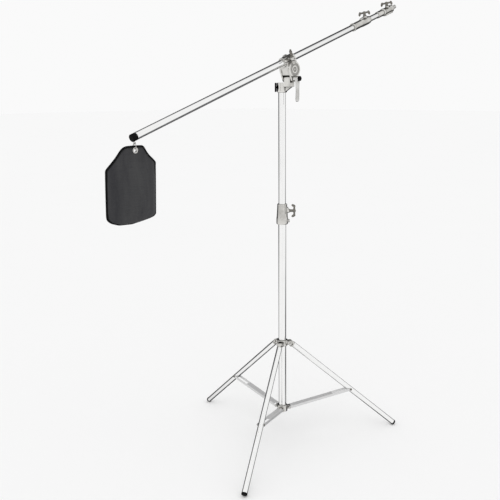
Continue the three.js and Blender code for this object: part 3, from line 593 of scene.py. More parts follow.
# ------------------------------------------------------------------ leg collar and legs
parts = [lathe([[0, LEG_Z - 12], [20.5, LEG_Z - 12], [21.5, LEG_Z - 11], [21.5, LEG_Z + 9], [23, LEG_Z + 10.5], [23, LEG_Z + 13], [22, LEG_Z + 14], [0, LEG_Z + 14]], 96, 0.5)]
holes = [rod(LOW_OR + GAP, LEG_Z - 20, LEG_Z + 20, 96), radial(rod(3.3, 10, 40, 32), SCREW_AZ, LEG_Z + SCREW_UP)]
for az in LEG_AZ:
    R = Matrix.Rotation(math.radians(az), 4, "Z")
    for y0, y1 in ((-10.6, -6.6), (6.6, 10.6)):
        parts += [move(box(15, LEG_R, y0, y1, LEG_Z - 9, LEG_Z + 9), R), move(along_y(rod(9.2, y0, y1), (LEG_R, 0, LEG_Z)), R)]
    holes.append(move(along_y(rod(3.3, -12, 12, 32), (LEG_R, 0, LEG_Z)), R))
parts.append(radial(rod(8, 15, 29.5), SCREW_AZ, LEG_Z + SCREW_UP))
put("leg_collar", cast(parts, 0.7, 3, 24000, holes), SATIN, OFF)


def hand_screw(shank=3.0, z0=0.0, z1=20.0, neck=5.5, zb=36.0, half=20.0, pad_w=5.0, pad_h=9.0, turn=0.0, sweep=16.0, keep=9000):
    body = lathe([[0, z0], [shank, z0], [shank, z1], [neck + 1.5, z1], [neck + 1.5, z1 + 3], [neck, z1 + 4.5],
                  [neck, zb + 2], [neck - 1.5, zb + 5.5], [0, zb + 6.5]], 64, 0.4)
    bar = along_x(lathe([[0, -half], [3.4, -half], [4.2, -6], [4.2, 6], [3.4, half], [0, half]], 40, 0.4), (0, 0, zb))
    oval = [(x * pad_w, y * pad_h) for x, y in circle(0, 0, 1, 36)]
    pads = [xf(slab_xz(oval, -3.4, 3.4), (s * half, 0, zb - 1 - sweep / 10), (0, s * -sweep, 0)) for s in (1, -1)]
    me = cast([body, bar, *pads], 0.55, 5, keep)
    me.transform(Matrix.Rotation(math.radians(turn), 4, "Z"))
    return me


ring_grip = cast([lathe([[0, LOW_OR + GAP + 0.3], [3, LOW_OR + GAP + 0.3], [3, 29.8], [6, 29.8], [6, 32.5], [4.4, 34], [4.4, RING_AT - 10], [0, RING_AT - 9]], 48, 0.3),
                  xf(torus(RING_R, 2.4), (0, 0, RING_AT), (90, RING_TURN, 0))], 0.5, 3, 9000)
put("leg_collar_screw", ring_grip, SATIN, OFF @ mm(radial_m(SCREW_AZ, LEG_Z + SCREW_UP)))

bolt = lathe([[0, -14.4], [4.6, -14.4], [5.4, -13.6], [5.4, -10.9], [3, -10.9], [3, 10.9], [5.6, 10.9], [5.6, 14.2], [4.8, 15], [0, 15]], 48, 0.3)
eye_parts = [along_y(rod(8.8, -6.3, 6.3)), box(-7.6, 7.6, -6.3, 6.3, 0, 12.5), lathe([[0, 11.6], [LEG_OR - 0.9, 11.6], [LEG_OR, 12.5], [LEG_OR, LEG_T0 - GAP], [0, LEG_T0 - GAP]], 72, 0.3)]
fitting = cast(eye_parts, 0.6, 3, 9000, [along_y(rod(3.3, -8, 8, 32))])
plug_prof = [[0, 606], [9, 606], [LEG_IR - GAP, 608], [LEG_IR - GAP, LEG_T1 + GAP], [LEG_OR + 0.4, LEG_T1 + GAP], [LEG_OR + 0.4, 646.5], [LEG_OR - 0.7, 648.5], [0, 648.5]]
shift = LEG_Z / math.cos(math.radians(LEG_ANGLE))
foot = boolean(to_mesh(lathe(plug_prof, 96, 0.5)), [xf(box(-300, 300, -60, 60, 0, 120), (0, 0, shift), (0, LEG_ANGLE, 0))])
for i, (arm, leg) in enumerate(LEGS):
    n = i + 1
    L = arm @ mm(leg)
    turned(f"leg_pivot_bolt_{n}", bolt, STEEL, arm @ mm(place((LEG_R, 0, LEG_Z), (-90, 0, 0))))
    put(f"leg_top_fitting_{n}", fitting.copy(), SATIN, L)
    turned(f"leg_tube_{n}", pipe(LEG_IR, LEG_OR, LEG_T0, LEG_T1, 112), TUBE, L)
    put(f"foot_plug_{n}", foot.copy(), BLACK, L)

# ------------------------------------------------------------------ struts
edge = circle(0, 0.5, STRUT_END, 20, 90, 270) + circle(STRUT_L, 0.5, STRUT_END, 20, -90, 90)
web = to_mesh(box(STRUT_WEB0, STRUT_WEB1, -STRUT_OUT, STRUT_OUT, STRUT_TOP - 1.4, STRUT_TOP))
channel = boolean(web, [slab_xz(edge, STRUT_IN, STRUT_OUT), slab_xz(edge, -STRUT_OUT, -STRUT_IN)], "UNION")
# a shallow pressed rib along the web
rib = to_mesh(box(STRUT_WEB0 + 16, STRUT_WEB1 - 16, -3.2, 3.2, STRUT_TOP - 0.6, STRUT_TOP + 3))
channel = boolean(channel, [box(STRUT_WEB0 + 14, STRUT_WEB1 - 14, -2.6, 2.6, STRUT_TOP - 0.45, STRUT_TOP + 3),
                            along_y(rod(2.8, -20, 20, 32)), along_y(rod(2.8, -20, 20, 32), (STRUT_L, 0, 0))])
channel = bevelled(channel, 0.3, 2, 50)
pin_s = lathe([[0, -15.8], [3.4, -15.8], [4.4, -14.8], [4.4, -13.6], [2.5, -13.6], [2.5, 13.6], [4.4, 13.6], [4.4, 14.8], [3.4, 15.8], [0, 15.8]], 48, 0.3)
rivet = lathe([[0, 12.0], [2.5, 12.0], [2.5, 13.6], [5.0, 13.6], [4.8, 14.8], [3.4, 16.2], [0, 16.8]], 48, 0.3)
for i, (arm, strut) in enumerate(STRUTS):
    n = i + 1
    M = arm @ mm(strut)
    put(f"strut_{n}", channel.copy(), PLATED, M)
    turned(f"strut_hub_pin_{n}", pin_s, STEEL, M @ mm(Y_AXIS))
    for tag, s in (("a", -1), ("b", 1)):
        turned(f"strut_rivet_{n}{tag}", rivet, NICKEL, M @ mm(place((STRUT_L, 0, 0), (-90 if s > 0 else 90, 0, 0))))

# ------------------------------------------------------------------ column clamp
parts = [lathe([[0, CLAMP_Z0], [22.2, CLAMP_Z0], [24, CLAMP_Z0 + 3], [24, CLAMP_Z0 + 26], [23, CLAMP_Z0 + 32], [20.4, CLAMP_Z1 - 8],
                [20.4, CLAMP_Z1 - 2], [19, CLAMP_Z1], [0, CLAMP_Z1]], 96, 0.8),
         radial(rod(9, 15, 29), CLAMP_AZ, CLAMP_SCREW_Z),
         xf(box(15, 25, -9, 9, CLAMP_SCREW_Z - 2, CLAMP_SCREW_Z + 14), r=(0, 0, CLAMP_AZ)),
         radial(rod(7.5, 15, 26), CLAMP_AZ, CLAMP_BOLT_Z)]
put("column_clamp", cast(parts, 0.75, 4, 20000, [
    radial(rod(3.8, 10, 40, 32), CLAMP_AZ, CLAMP_SCREW_Z), radial(rod(3.3, 10, 40, 32), CLAMP_AZ, CLAMP_BOLT_Z),
    rod(UP_OR + GAP, CLAMP_Z0 - 5, CLAMP_Z1 + 5, 96), rod(LOW_OR + GAP, CLAMP_Z0 - 6, LOW_Z1 + GAP, 96),
    xf(box(10, 40, -1.2, 1.2, LOW_Z1 + 6, CLAMP_Z1 + 5), r=(0, 0, CLAMP_SLOT_AZ))]), SATIN, OFF)
turned("column_clamp_bolt", lathe([[0, 17.5], [3, 17.5], [3, 26.3], [6.5, 26.3], [6.5, 29.6], [5.4, 30.6], [0, 30.6]], 48, 0.4), STEEL,
       OFF @ mm(radial_m(CLAMP_AZ, CLAMP_BOLT_Z)))
put("column_clamp_screw", hand_screw(3.5, UP_OR + 0.5, 29.3, 5.5, 50, 21, sweep=24), NICKEL, OFF @ mm(radial_m(CLAMP_AZ, CLAMP_SCREW_Z)))

# ------------------------------------------------------------------ head
gusset = xf(slab([(-19, 1488.5), (-19, 1510), (-55, 1510), (-55, 1508)][::-1], -4.5, 4.5), r=(90, 90, 0))
parts = [lathe([[0, SOCKET_Z1], [SOCKET_R - 1.5, SOCKET_Z1], [SOCKET_R, SOCKET_Z1 - 1.5], [SOCKET_R, SOCKET_Z0 + 5], [18.6, SOCKET_Z0], [0, SOCKET_Z0]], 96, 0.6),
         box(-13, 13, -55, -12, 1508, SOCKET_Z1), gusset, box(-13, 13, -54, -22, SOCKET_Z1 - 1, TILT_Z), along_y(rod(13, -54, -22, 72), (0, 0, TILT_Z))]
put("head_socket", cast(parts, 0.75, 3, 20000, [
    rod(UP_OR + GAP, SOCKET_Z0 - 5, UP_Z1 + GAP, 96), along_y(rod(4.3, -60, -10, 48), (0, 0, TILT_Z)), radial(rod(3.8, 8, 30, 32), KNOB_AZ, KNOB_Z)]),
    SATIN, OFF)
# lock knob with grip flutes
knob = to_mesh(lathe([[0, UP_OR + 0.5], [3.5, UP_OR + 0.5], [3.5, SOCKET_R + 0.6], [16.5, SOCKET_R + 0.6], [18.2, SOCKET_R + 2], [18.2, SOCKET_R + 6.6],
                      [16.8, SOCKET_R + 8], [0, SOCKET_R + 8]], 144, 0.5))
flutes = join(*[xf(rod(1.5, SOCKET_R - 2, SOCKET_R + 12, 16), (19.0 * math.cos(a), 19.0 * math.sin(a), 0)) for a in np.linspace(0, 2 * math.pi, 24, endpoint=False)])
put("socket_lock_knob", boolean(knob, [flutes]), BLACK, OFF @ mm(radial_m(KNOB_AZ, KNOB_Z)))

# ------------------------------------------------------------------ tilting yoke
d = math.hypot(CHEEK_X, CHEEK_H)
lean = math.degrees(math.atan2(CHEEK_X, CHEEK_H))
ang = math.degrees(math.acos((CHEEK_R - CHEEK_HUB) / d))
cheek_line = circle(CHEEK_X, CHEEK_H, CHEEK_R, 60, -90 - lean + ang, 270 - lean - ang) + circle(0, 0, CHEEK_HUB, 20, 270 - lean - ang, 270 - lean + ang)
CL0, CL1 = -18.0, 46.0
CLM = (CL0 + CL1) / 2
SX, SY = CLM, -64.5
HY, HZ = -13.2, BOOM_H + 0.6
ring_x = lambda r, x0, x1: along_x(rod(r, x0, x1, 96), (0, BOOM_Y, BOOM_H))
knuckle = lambda x0, x1: [along_x(rod(4.8, x0, x1, 40), (0, HY, HZ)), box(x0, x1, HY - 6.5, HY + 1.5, HZ - 8, HZ - 1.5)]
CX, CH = CHEEK_X, CHEEK_H


def dish(y, face, r0, r1, depth):
    """A shallow round recess ring in a cheek's outer face."""
    s = lathe([[r0, 0], [r1, 0], [r1, depth + 4], [r0, depth + 4]], 72, 0)
    return xf(s, (CX, y - face * depth, CH), (-90 if face > 0 else 90, 0, 0))


parts = [slab_xz(cheek_line, REAR1, REAR0), slab_xz(cheek_line, FRONT1, FRONT0), box(CL0 + 6, CL1 - 2, FRONT0 - 1, REAR1 + 1, 17.5, BOOM_H - 1.2),
         ring_x(19, CL0, CL1), box(SX - 9, SX + 9, SY - 7, FRONT0 + 3, 54, BOOM_H - 1.2), xf(rod(9, 54, BOOM_H - 1.2), (SX, SY, 0)),
         *knuckle(CLM - 26, CLM - 10.6), *knuckle(CLM + 10.6, CLM + 26)]
yoke = cast(parts, 0.75, 3, 30000, [
    box(-80, 80, -90, -18.2, BOOM_H - 1.2, 140), along_x(rod(2.3, -40, 40, 32), (0, HY, HZ)), box(CLM - 10, CLM + 10, HY - 7.5, HY + 8, HZ - 5.5, HZ + 8), ring_x(BOOM_OR + GAP, -80, 80), along_y(rod(4.3, -70, 0, 48)), xf(rod(3.3, 50, 90, 32), (SX, SY, 0)),
    dish(FRONT1, -1, 15, 25.5, 0.9), dish(FRONT1, -1, 3.0, 10, 0.9), dish(REAR0, 1, 15, 25.5, 0.9), dish(REAR0, 1, 3.0, 10, 0.9)])
put("tilt_yoke", yoke, SATIN, TILT_M)

cap_parts = [ring_x(19, CL0, CL1), box(SX - 9, SX + 9, SY, BOOM_Y, BOOM_H - 2, BOOM_H + 12), xf(rod(9, BOOM_H - 2, BOOM_H + 12), (SX, SY, 0)),
             xf(slab([(-13, 0), (13, 0), (7, 6), (-7, 6)], -5, 5), (CLM, BOOM_Y + 6, BOOM_H + 16), (90, 0, 0))]
cap_lug = [along_x(rod(4.8, CLM - 9.7, CLM + 9.7, 40), (0, HY, HZ)), box(CLM - 9.7, CLM + 9.7, HY - 7, HY, HZ + 0.9, HZ + 4.6)]
cap = cast(cap_parts, 0.7, 3, 16000, [box(-80, 80, -90, 10, 0, BOOM_H + 1.4)])
cap = boolean(cap, [cap_lug[0], cap_lug[1]], "UNION")
cap = boolean(cap, [ring_x(BOOM_OR + GAP, -80, 80), xf(rod(3.7, 60, 100, 32), (SX, SY, 0)), along_x(rod(2.3, -40, 40, 32), (0, HY, HZ))])
put("boom_clamp_cap", cap, SATIN, TILT_M)
turned("boom_clamp_hinge_pin", pin(2.0, CLM - 27, CLM + 27, 0.4), STEEL, TILT_M @ mm(place((0, HY, HZ), (0, 90, 0))))
put("boom_clamp_screw", hand_screw(3.0, 56, BOOM_H + 12.4, 5.5, BOOM_H + 33, 19, turn=42), NICKEL, TILT_M @ mm(place((SX, SY, 0))))
turned("tilt_washer_rear", pipe(4.3, 12.4, -21.7, REAR1 - GAP, 72), NICKEL, TILT_M @ mm(Y_AXIS))
turned("tilt_washer_front", pipe(4.3, 12.4, FRONT0 + GAP, -54.3, 72), NICKEL, TILT_M @ mm(Y_AXIS))
turned("tilt_bolt", lathe([[0, -80], [4, -80], [4, REAR0 + GAP], [7.5, REAR0 + GAP], [7.5, -7.2], [6.4, -6.2], [0, -6.2]], 6 * 8, 0.3), STEEL, TILT_M @ mm(Y_AXIS))

arm_line = [(-8, 3), (8, 3), (9.5, -8), (7.6, -24), (7, -44), (7.4, -66), (6.6, -82), (4, -87.5), (0, -89), (-3, -87), (-4.6, -80), (-3.4, -64), (-2.6, -44), (-4.4, -24), (-8, -8)]
hub_l = along_y(lathe([[0, -90], [9.4, -90], [10, -80], [10, FRONT1 - GAP], [0, FRONT1 - GAP]], 72, 0.6))
put("tilt_lever", cast([hub_l, slab_xz(arm_line, -86, -75)], 0.6, 6, 16000, [along_y(rod(4.3, -81, FRONT1 + 5, 48))]), LEVER, LEVER_M)
turned("tilt_lever_cap", lathe([[0, -96.5], [8.2, -96.5], [9.8, -95], [9.8, -90.3], [0, -90.3]], 72, 0.6), BLACK, LEVER_M @ mm(Y_AXIS))

# ------------------------------------------------------------------ boom
BX = BOOM_M @ mm(X_AXIS)
turned("boom_outer_tube", pipe(BOOM_IR, BOOM_OR, BOOM_X0, BOOM_X1, 128), TUBE, BX)
turned("boom_inner_tube", pipe(INNER_IR, INNER_OR, INNER_X0, INNER_X1, 128), TUBE, BX)
turned("boom_inner_bush", lathe([[0, INNER_X0 - 10], [BOOM_IR - GAP, INNER_X0 - 10], [BOOM_IR - GAP, INNER_X0 - GAP], [INNER_IR - GAP, INNER_X0 - GAP],
                                 [INNER_IR - GAP, INNER_X0 + 16], [0, INNER_X0 + 16]], 72, 0.3), BLACK, BX)
end_cap = to_mesh(along_x(lathe([[0, -818], [11.4, -818], [13.1, -816.3], [13.1, BOOM_X0 - GAP], [BOOM_IR - GAP, BOOM_X0 - GAP], [BOOM_IR - GAP, -772], [10.6, -770], [0, -770]], 96, 0.6)))
put("boom_end_cap", boolean(end_cap, [xf(rod(2.0, -20, 5, 24), (EYE_X, 0, 0))]), BLACK, BOOM_M)
eye = boolean(to_mesh(xf(torus(3.7, 1.3, 56, 20), (EYE_X, 0, -EYE_D), (90, 0, 0))), [xf(rod(1.6, -EYE_D + 3.6, 4.7, 32), (EYE_X, 0, 0))], "UNION")
put("bag_screw_eye", eye, STEEL, BOOM_M)

parts = [along_x(lathe([[0, COLLAR_X0], [16.6, COLLAR_X0], [17.2, COLLAR_X0 + 1.5], [17.2, COLLAR_X0 + 6], [15.6, COLLAR_X0 + 9], [15.6, COLLAR_X0 + 58], [17, COLLAR_X0 + 70],
                        [17, COLLAR_X1 - 14], [15.2, COLLAR_X1 - 1.5], [14.4, COLLAR_X1], [0, COLLAR_X1]], 96, 0.5)),
         xf(rod(8.5, 8, 22.5), (COLLAR_SCREW, 0, 0)), box(COLLAR_SCREW - 34, COLLAR_SCREW, -5, 5, 10, 20.5)]
put("boom_collar", cast(parts, 0.75, 3, 22000, [
    xf(rod(3.3, 5, 30, 32), (COLLAR_SCREW, 0, 0)), along_x(rod(INNER_OR + GAP, COLLAR_X0 - 5, COLLAR_X1 + 5, 96)),
    along_x(rod(BOOM_OR + GAP, COLLAR_X0 - 6, BOOM_X1 + GAP, 96)), box(BOOM_X1 + 6, COLLAR_X1 + 5, -1, 1, -30, -8)]), SATIN, BOOM_M)
put("boom_collar_screw", hand_screw(3.0, INNER_OR + 0.5, 22.8, 5.5, 36, 20, turn=-60), NICKEL, BOOM_M @ mm(place((COLLAR_SCREW, 0, 0))))

turned("stud_sleeve", lathe([[INNER_OR + GAP, 622], [13.4, 622], [14.2, 624], [14.2, 660], [13.6, END_X0 - GAP - 0.2], [INNER_OR + GAP, END_X0 - GAP - 0.2]], 96, 0.4), SATIN, BX)
parts = [along_x(lathe([[0, END_X0], [14.6, END_X0], [16.4, END_X0 + 3], [16.4, END_X0 + 10], [15, END_X0 + 14], [15, END_X1 - 16], [16.2, END_X1 - 13], [16.2, END_X1 - 2.5],
                        [14.6, END_X1], [0, END_X1]], 96, 0.5)), xf(rod(8.5, 5, 19.5), (END_SCREW, 0, 0)), box(END_X0 + 8, END_X1 - 8, -11, 11, -17.6, -5)]
put("stud_holder", cast(parts, 0.7, 3, 16000, [along_x(rod(STUD_R + GAP, END_X0 + 24, END_X1 + 5, 72)), xf(rod(3.3, 4, 30, 32), (END_SCREW, 0, 0))]), SATIN, BOOM_M)
put("stud_holder_screw", hand_screw(3.0, STUD_R + 0.6, 19.8, 5.5, 31, 21, turn=-60), NICKEL, BOOM_M @ mm(place((END_SCREW, 0, 0))))
turned("light_stud", lathe([[0, END_X0 + 24.5], [STUD_R - 1, END_X0 + 24.5], [STUD_R, END_X0 + 25.5], [STUD_R, END_X1 + 9], [STUD_R - 1.8, END_X1 + 11], [STUD_R - 1.8, END_X1 + 17],
                            [STUD_R, END_X1 + 19], [STUD_R, STUD_X1 - 1.5], [STUD_R - 1.5, STUD_X1], [0, STUD_X1]], 96, 0.35), STEEL, BX)

# ------------------------------------------------------------------ link
oval = []
for i in range(72):
    a = 2 * math.pi * i / 72
    c, s = math.cos(a), math.sin(a)
    oval.append((0, 7.4 * math.copysign(abs(c) ** 0.7, c), 9.3 * math.copysign(abs(s) ** 0.7, s) - 10.2))
turned("bag_link", wire(oval, 1.2, 16), STEEL, BAG_M, 60)
turned("bag_grommet", lathe([[6, -3.8], [10.5, -3.8], [10.5, -3.0], [7.4, -2.95], [7.4, 2.95], [10.5, 3.0], [10.5, 3.8], [6, 3.8]], 72, 0.35), STEEL,
       BAG_M @ mm(place((0, 0, GZ), (-90, 0, 0))))

# ------------------------------------------------------------------ counterweight bag
# outline from the top centre to the bottom centre: distance from the bag's own middle line, height under its top
SIDE_L = [(0, TOP), (22, -7.6), (34, -8.3), (42, -10.4), (47, -13.5), (55, -23), (67.5, -43), (83, -61), (95, -74), (100, -80.5), (101.6, -88),
          (101.8, -150), (101.2, -223), (99.4, -240), (92, -249), (80, -256), (53, -264.5), (30, -266), (0, TOP - BAG_H)]
SIDE_R = [(0, TOP), (20, -7.6), (30, -8.3), (38, -11.4), (46.7, -18.5), (58, -31), (74, -45), (90, -57), (97.5, -63.5), (100.5, -68), (101.5, -75),
          (101.8, -150), (101.3, -236), (99, -244), (91.2, -251), (70, -256.5), (40, -261.5), (0, TOP - BAG_H)]
MIDDLE = [(0, TOP), (-4.8, -18), (-11.5, -43), (-17.7, -75), (-23.2, -230), (-24, TOP - BAG_H)]


def smooth_line(pts, n):
    """Resamples an open line evenly through a smooth curve."""
    P = np.array(pts, float)
    ext = np.vstack([2 * P[0] - P[1], P, 2 * P[-1] - P[-2]])
    fine = []
    for i in range(1, len(ext) - 2):
        p0, p1, p2, p3 = ext[i - 1:i + 3]
        for t in np.linspace(0, 1, 12, endpoint=False):
            # cubic with softened tangents
            m1, m2 = (p2 - p0) * 0.35, (p3 - p1) * 0.35
            h = 2 * t ** 3 - 3 * t ** 2 + 1, t ** 3 - 2 * t ** 2 + t, -2 * t ** 3 + 3 * t ** 2, t ** 3 - t ** 2
            fine.append(h[0] * p1 + h[1] * m1 + h[2] * p2 + h[3] * m2)
    fine.append(P[-1])
    fine = np.array(fine)
    d = np.r_[0, np.cumsum(np.linalg.norm(np.diff(fine, axis=0), axis=1))]
    s = np.linspace(0, d[-1], n)
    return np.c_[np.interp(s, d, fine[:, 0]), np.interp(s, d, fine[:, 1])]


left = smooth_line([(w, z - TOP) for w, z in SIDE_L], 120)
right = smooth_line([(w, z - TOP) for w, z in SIDE_R], 120)


def sway(z):
    """The bag hangs askew: how far its middle line has run off at a height."""
    return float(np.interp(-z, [TOP - q for _, q in MIDDLE], [q for q, _ in MIDDLE]))


def width_at(z, side):
    z, edge_ = max(1.2 - BAG_H, min(-0.6, z)), right if side > 0 else left
    return float(np.interp(-z, np.maximum.accumulate(-edge_[:, 1]), edge_[:, 0]))


def bag_body(inset, th, nu=36, nv=56):
    """A closed crowned form: front and back skins over the outline, drawn together at the seam."""
    v, rows, f = [], [], []
    z0, z1 = -inset, -BAG_H + inset
    for i in range(nv + 1):
        k = i / nv
        z = z0 + (z1 - z0) * (0.5 - 0.5 * math.cos(math.pi * k))
        wl, wr = (max(width_at(z, q) - inset, 5) for q in (-1, 1))
        vv = -z / BAG_H
        row = []
        for side in (-1, 1):
            us = range(nu + 1) if side < 0 else range(nu, -1, -1)
            for j in us:
                u = -1 + 2 * j / nu
                e = max(0.0, 1 - abs(u) ** 2.6)
                t = min(1.0, max(0.0, (vv - 0.15) / 0.36))
                dd = t * t * (3 - 2 * t)
                t = min(1.0, max(0.0, (vv - 0.80) / 0.20))
                bb = 1 - (t * t * (3 - 2 * t)) * 0.8
                y = 1.9 + (th / 2 - 1.9) * math.sqrt(e) * dd * bb
                row.append(len(v))
                v.append((sway(z) + u * (wl if u < 0 else wr), side * y, z))
        rows.append(row)
    K = len(rows[0])
    for i in range(nv):
        for j in range(K):
            f.append((rows[i][j], rows[i + 1][j], rows[i + 1][(j + 1) % K], rows[i][(j + 1) % K]))
    f.append(tuple(rows[0]))
    f.append(tuple(reversed(rows[-1])))
    return np.array(v, float), f


def swell(me, voxel, pressure, cap_mm, hold):
    """Fills the bag as cloth under inner pressure; hold(x, z) says how firmly a point is held, 0 free to 1 fixed."""
    o = temp(me)
    r = o.modifiers.new("r", "REMESH")
    r.mode, r.voxel_size = "VOXEL", voxel * MM
    me = baked(o)
    o = temp(me)
    before = np.array([v.co for v in me.vertices])
    group = o.vertex_groups.new(name="hold")
    for i, c in enumerate(before):
        w = hold(c[0] / MM, c[2] / MM)
        if w > 0:
            group.add([i], w, "REPLACE")
    cl = o.modifiers.new("cloth", "CLOTH")
    st = cl.settings
    st.quality = 6
    st.mass = 0.4
    st.use_pressure = True
    st.uniform_pressure_force = pressure
    st.tension_stiffness = st.compression_stiffness = 18
    st.shear_stiffness = 8
    st.bending_stiffness = 0.6
    st.vertex_group_mass = "hold"
    st.pin_stiffness = 1.0
    st.effector_weights.gravity = 0.0
    cl.collision_settings.use_self_collision = False
    cl.point_cache.frame_start, cl.point_cache.frame_end = 1, 20
    for fr in range(1, 21):
        bpy.context.scene.frame_set(fr)
    me2 = baked(o)
    after = np.array([v.co for v in me2.vertices])
    d = after - before
    ln = np.linalg.norm(d, axis=1, keepdims=True)
    d = d * np.minimum(1.0, cap_mm * MM / np.maximum(ln, 1e-9))
    me2.vertices.foreach_set("co", (before + d).astype(np.float32).ravel())
    bpy.context.scene.frame_set(1)
    me = me2
    o = temp(me)
    s = o.modifiers.new("s", "SMOOTH")
    s.factor, s.iterations = 0.5, 4
    return baked(o)


def hold(x, z):
    """The neck, the bound edge and the strip round the grommet stay flat."""
    e = width_at(z, x - sway(z)) - abs(x - sway(z))
    a = max(0.0, 1 - max(e - 3, 0) / 7)
    b = 1.0 if z > -42 else max(0.0, 1 - (-z - 42) / 34)
    c = max(0.0, 1 - max(z + BAG_H - 6, 0) / 8)
    return min(1.0, max(a, b, c))


body = swell(to_mesh(bag_body(3.2, 34)), 4.0, 4.0, 9.0, hold)

# creases: soft hand-pressed hollows fanning from the neck, a slump toward the bottom and the slack skin's ripples
co = np.array([v.co for v in body.vertices]) / MM
x, y, z = co[:, 0] - np.array([sway(q) for q in co[:, 2]]), co[:, 1], co[:, 2]
wv = np.array([width_at(q, p) for q, p in zip(z, x)])
inside = np.clip((wv - np.abs(x)) / 22, 0, 1) * np.clip((-z - 30) / 45, 0, 1) * np.clip((z + BAG_H - 3) / 16, 0, 1)
side = np.sign(y)
ang_ = np.arctan2(x, -(z + 4))
fan = 0.55 * np.sin(ang_ * 15 + side * 0.7) * np.clip((z + 185) / 110, 0, 1) * np.clip(-(z + 20) / 40, 0, 1)
ripple = 0.7 * np.sin(x / 13.0 + 0.8 * np.sin(z / 37.0 + side)) * np.clip(-(z + 60) / 60, 0, 1)
slump = 2.2 * np.exp(-((z + 196) / 46) ** 2) * np.cos(np.clip(x / np.maximum(wv, 1), -1, 1) * math.pi / 2)
pucker = 0.5 * np.sin((x + z) / 2.9) * np.exp(-((wv - np.abs(x) - 9) / 5) ** 2)
co[:, 1] = y + side * inside * (fan + ripple + slump * 0.8) + side * pucker * np.clip((-z - 40) / 30, 0, 1) * 0.8
body.vertices.foreach_set("co", (co * MM).astype(np.float32).ravel())
o = temp(body)
sb = o.modifiers.new("s", "SUBSURF")
sb.levels = sb.render_levels = 1
body = baked(o)
body = boolean(body, [along_y(rod(7.0, -40, 40, 72), (0, 0, GZ - TOP))])
BAG_TOP_M = BAG_M @ Matrix.Translation((0, 0, TOP * MM))
bag = put("counterweight_bag", body, FABRIC, BAG_TOP_M, angle=60)

# bound edge: a ribbed tape folded over the seam, right round the bag
line = [(sway(p[1]) + p[0], p[1]) for p in right] + [(sway(p[1]) - p[0], p[1]) for p in left[::-1][1:-1]]
line = np.array(line)
centre = np.array([-16.0, -135.0])


def inward(pts, dist):
    nxt, prv = np.roll(pts, -1, 0), np.roll(pts, 1, 0)
    tan = nxt - prv
    tan /= np.linalg.norm(tan, axis=1, keepdims=True)
    nor = np.c_[tan[:, 1], -tan[:, 0]]
    flip = np.sign(((centre - pts) * nor).sum(1))
    flip[flip == 0] = 1
    return pts + nor * flip[:, None] * dist


def tape(pts, depth, half_th, bulge):
    """A U of tape whose outer edge runs on the outline and whose lips lie on both skins."""
    inner = inward(pts, depth)
    v, f, n = [], [], len(pts)
    sect = [(0.0, 0.0), (0.12, 0.62), (0.35, 0.92), (0.7, 1.0), (0.94, 1.0), (1.0, 0.82), (1.0, 0.5), (1.0, 0.0)]
    sect = sect + [(u, -w) for u, w in sect[-2:0:-1]]
    m = len(sect)
    for i in range(n):
        rib = 1 + 0.05 * math.sin(i * math.pi)
        for u, w in sect:
            p = pts[i] + (inner[i] - pts[i]) * u
            v.append((p[0], w * (half_th + bulge * u) * rib, p[1]))
    for i in range(n):
        k = (i + 1) % n
        for j in range(m):
            f.append((i * m + j, i * m + (j + 1) % m, k * m + (j + 1) % m, k * m + j))
    return np.array(v, float), f


def reline(pts, n):
    P = np.vstack([pts, pts[:1]])
    d = np.r_[0, np.cumsum(np.linalg.norm(np.diff(P, axis=0), axis=1))]
    s = np.linspace(0, d[-1], n, endpoint=False)
    return np.c_[np.interp(s, d, P[:, 0]), np.interp(s, d, P[:, 1])]


edge_line = reline(line, 420)
bind = put("bag_binding", to_mesh(tape(edge_line, 7.0, 2.5, 1.7)), BINDING, BAG_TOP_M, node="counterweight_bag", angle=60)

# stitching: one row of thread on each lip of the tape
stitch = []
for side in (-1, 1):
    row = reline(inward(edge_line, 5.6), 560)
    for i in range(0, 560, 2):
        a, b = row[i], row[(i + 1) % 560]
        yy = side * 3.95
        m_ = (a + b) / 2
        pts = [(a[0], yy - side * 0.35, a[1]), (a[0] * 0.7 + b[0] * 0.3, yy + side * 0.18, a[1] * 0.7 + b[1] * 0.3),
               (a[0] * 0.3 + b[0] * 0.7, yy + side * 0.18, a[1] * 0.3 + b[1] * 0.7), (b[0], yy - side * 0.35, b[1])]
        stitch.append(wire(pts, 0.32, 6, closed=False))
put("bag_stitching", to_mesh(join(*stitch)), THREAD, BAG_TOP_M, node="counterweight_bag", angle=60)

# ------------------------------------------------------------------ stage and light
floor_me = bpy.data.meshes.new("floor")
R_ = 60.0
floor_me.from_pydata([(-R_, -R_, 0), (R_, -R_, 0), (R_, R_, 0), (-R_, R_, 0)], [], [(0, 1, 2, 3)])
fm, fnt, fp = nodes_of("floor")
fn = N(fnt)
fcol = fn.mix(fn.noise(fn.coords(), 0.8, 3.0), (0.895, 0.895, 0.895), (0.905, 0.905, 0.905))
fn.link(fcol, fp.inputs["Base Color"])
fp.inputs["Roughness"].default_value = 0.9
fp.inputs["Specular IOR Level"].default_value = 0.0
floor_me.materials.append(fm)
floor = bpy.data.objects.new("floor", floor_me)
bpy.context.scene.collection.objects.link(floor)
floor.location = (0, 0, -0.0005)
floor.visible_glossy = False

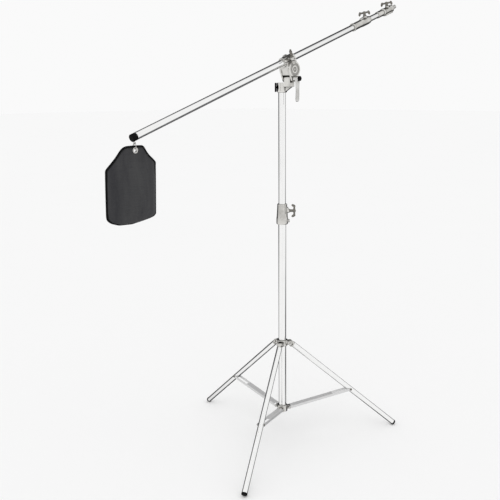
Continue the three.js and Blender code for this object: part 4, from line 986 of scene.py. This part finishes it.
world = bpy.data.worlds.new("studio")
bpy.context.scene.world = world
world.use_nodes = True
wt = world.node_tree
wn = N(wt)
bg = wt.nodes["Background"]
tc = wn.new("ShaderNodeTexCoord")
direction = tc.outputs["Generated"]


def dot(vec):
    m = wn.new("ShaderNodeVectorMath", operation="DOT_PRODUCT")
    wn.link(direction, m.inputs[0])
    m.inputs[1].default_value = vec
    return m.outputs["Value"]


# reflections: a bright tent all round, a dark band ahead of the stand and a thin seam overhead
F = Vector((0.7116, 0.6714, -0.2067)).normalized()
ahead = dot(F)
band = wn.math("MULTIPLY", wn.ramp(ahead, (0.0, 0.0), (0.20, 1.0)), wn.math("SUBTRACT", 1.0, wn.ramp(ahead, (0.93, 0.0), (0.97, 1.0))))
# two bright panels, so that the tubes that run away from the viewer stay light along their middles
for panel in ((0.705, -0.559, 0.434), (-0.531, 0.5255, -0.665)):
    band = wn.math("MULTIPLY", band, wn.math("SUBTRACT", 1.0, wn.ramp(dot(Vector(panel).normalized()), (0.72, 0.0), (0.85, 1.0))))
tent = wn.mix(band, (0.97, 0.97, 0.97), (0.13, 0.13, 0.135))
seam = wn.ramp(wn.math("ABSOLUTE", dot((-0.5475, 0.3458, 0.7620))), (0.0, 1.0), (0.075, 0.0))
tent = wn.mix(wn.math("MULTIPLY", seam, 0.25), tent, (0.45, 0.45, 0.46))
lp = wn.new("ShaderNodeLightPath")
plain = wn.mix(lp.outputs["Is Camera Ray"], (0.94, 0.94, 0.94), (0.955, 0.955, 0.955))
sky = wn.mix(lp.outputs["Is Glossy Ray"], plain, tent)
wn.link(sky, bg.inputs["Color"])
bg.inputs["Strength"].default_value = 1.0


def soft_sun(name, source, power, spread):
    li = bpy.data.lights.new(name, "SUN")
    li.energy, li.angle = power, math.radians(spread)
    ob = bpy.data.objects.new(name, li)
    bpy.context.scene.collection.objects.link(ob)
    ob.rotation_euler = (-Vector(source)).to_track_quat("-Z", "Y").to_euler()
    ob.visible_glossy = False
    return ob


soft_sun("key", (-3.2, -2.6, 4.2), 0.45, 50)
bpy.context.scene.view_settings.view_transform = "Standard"
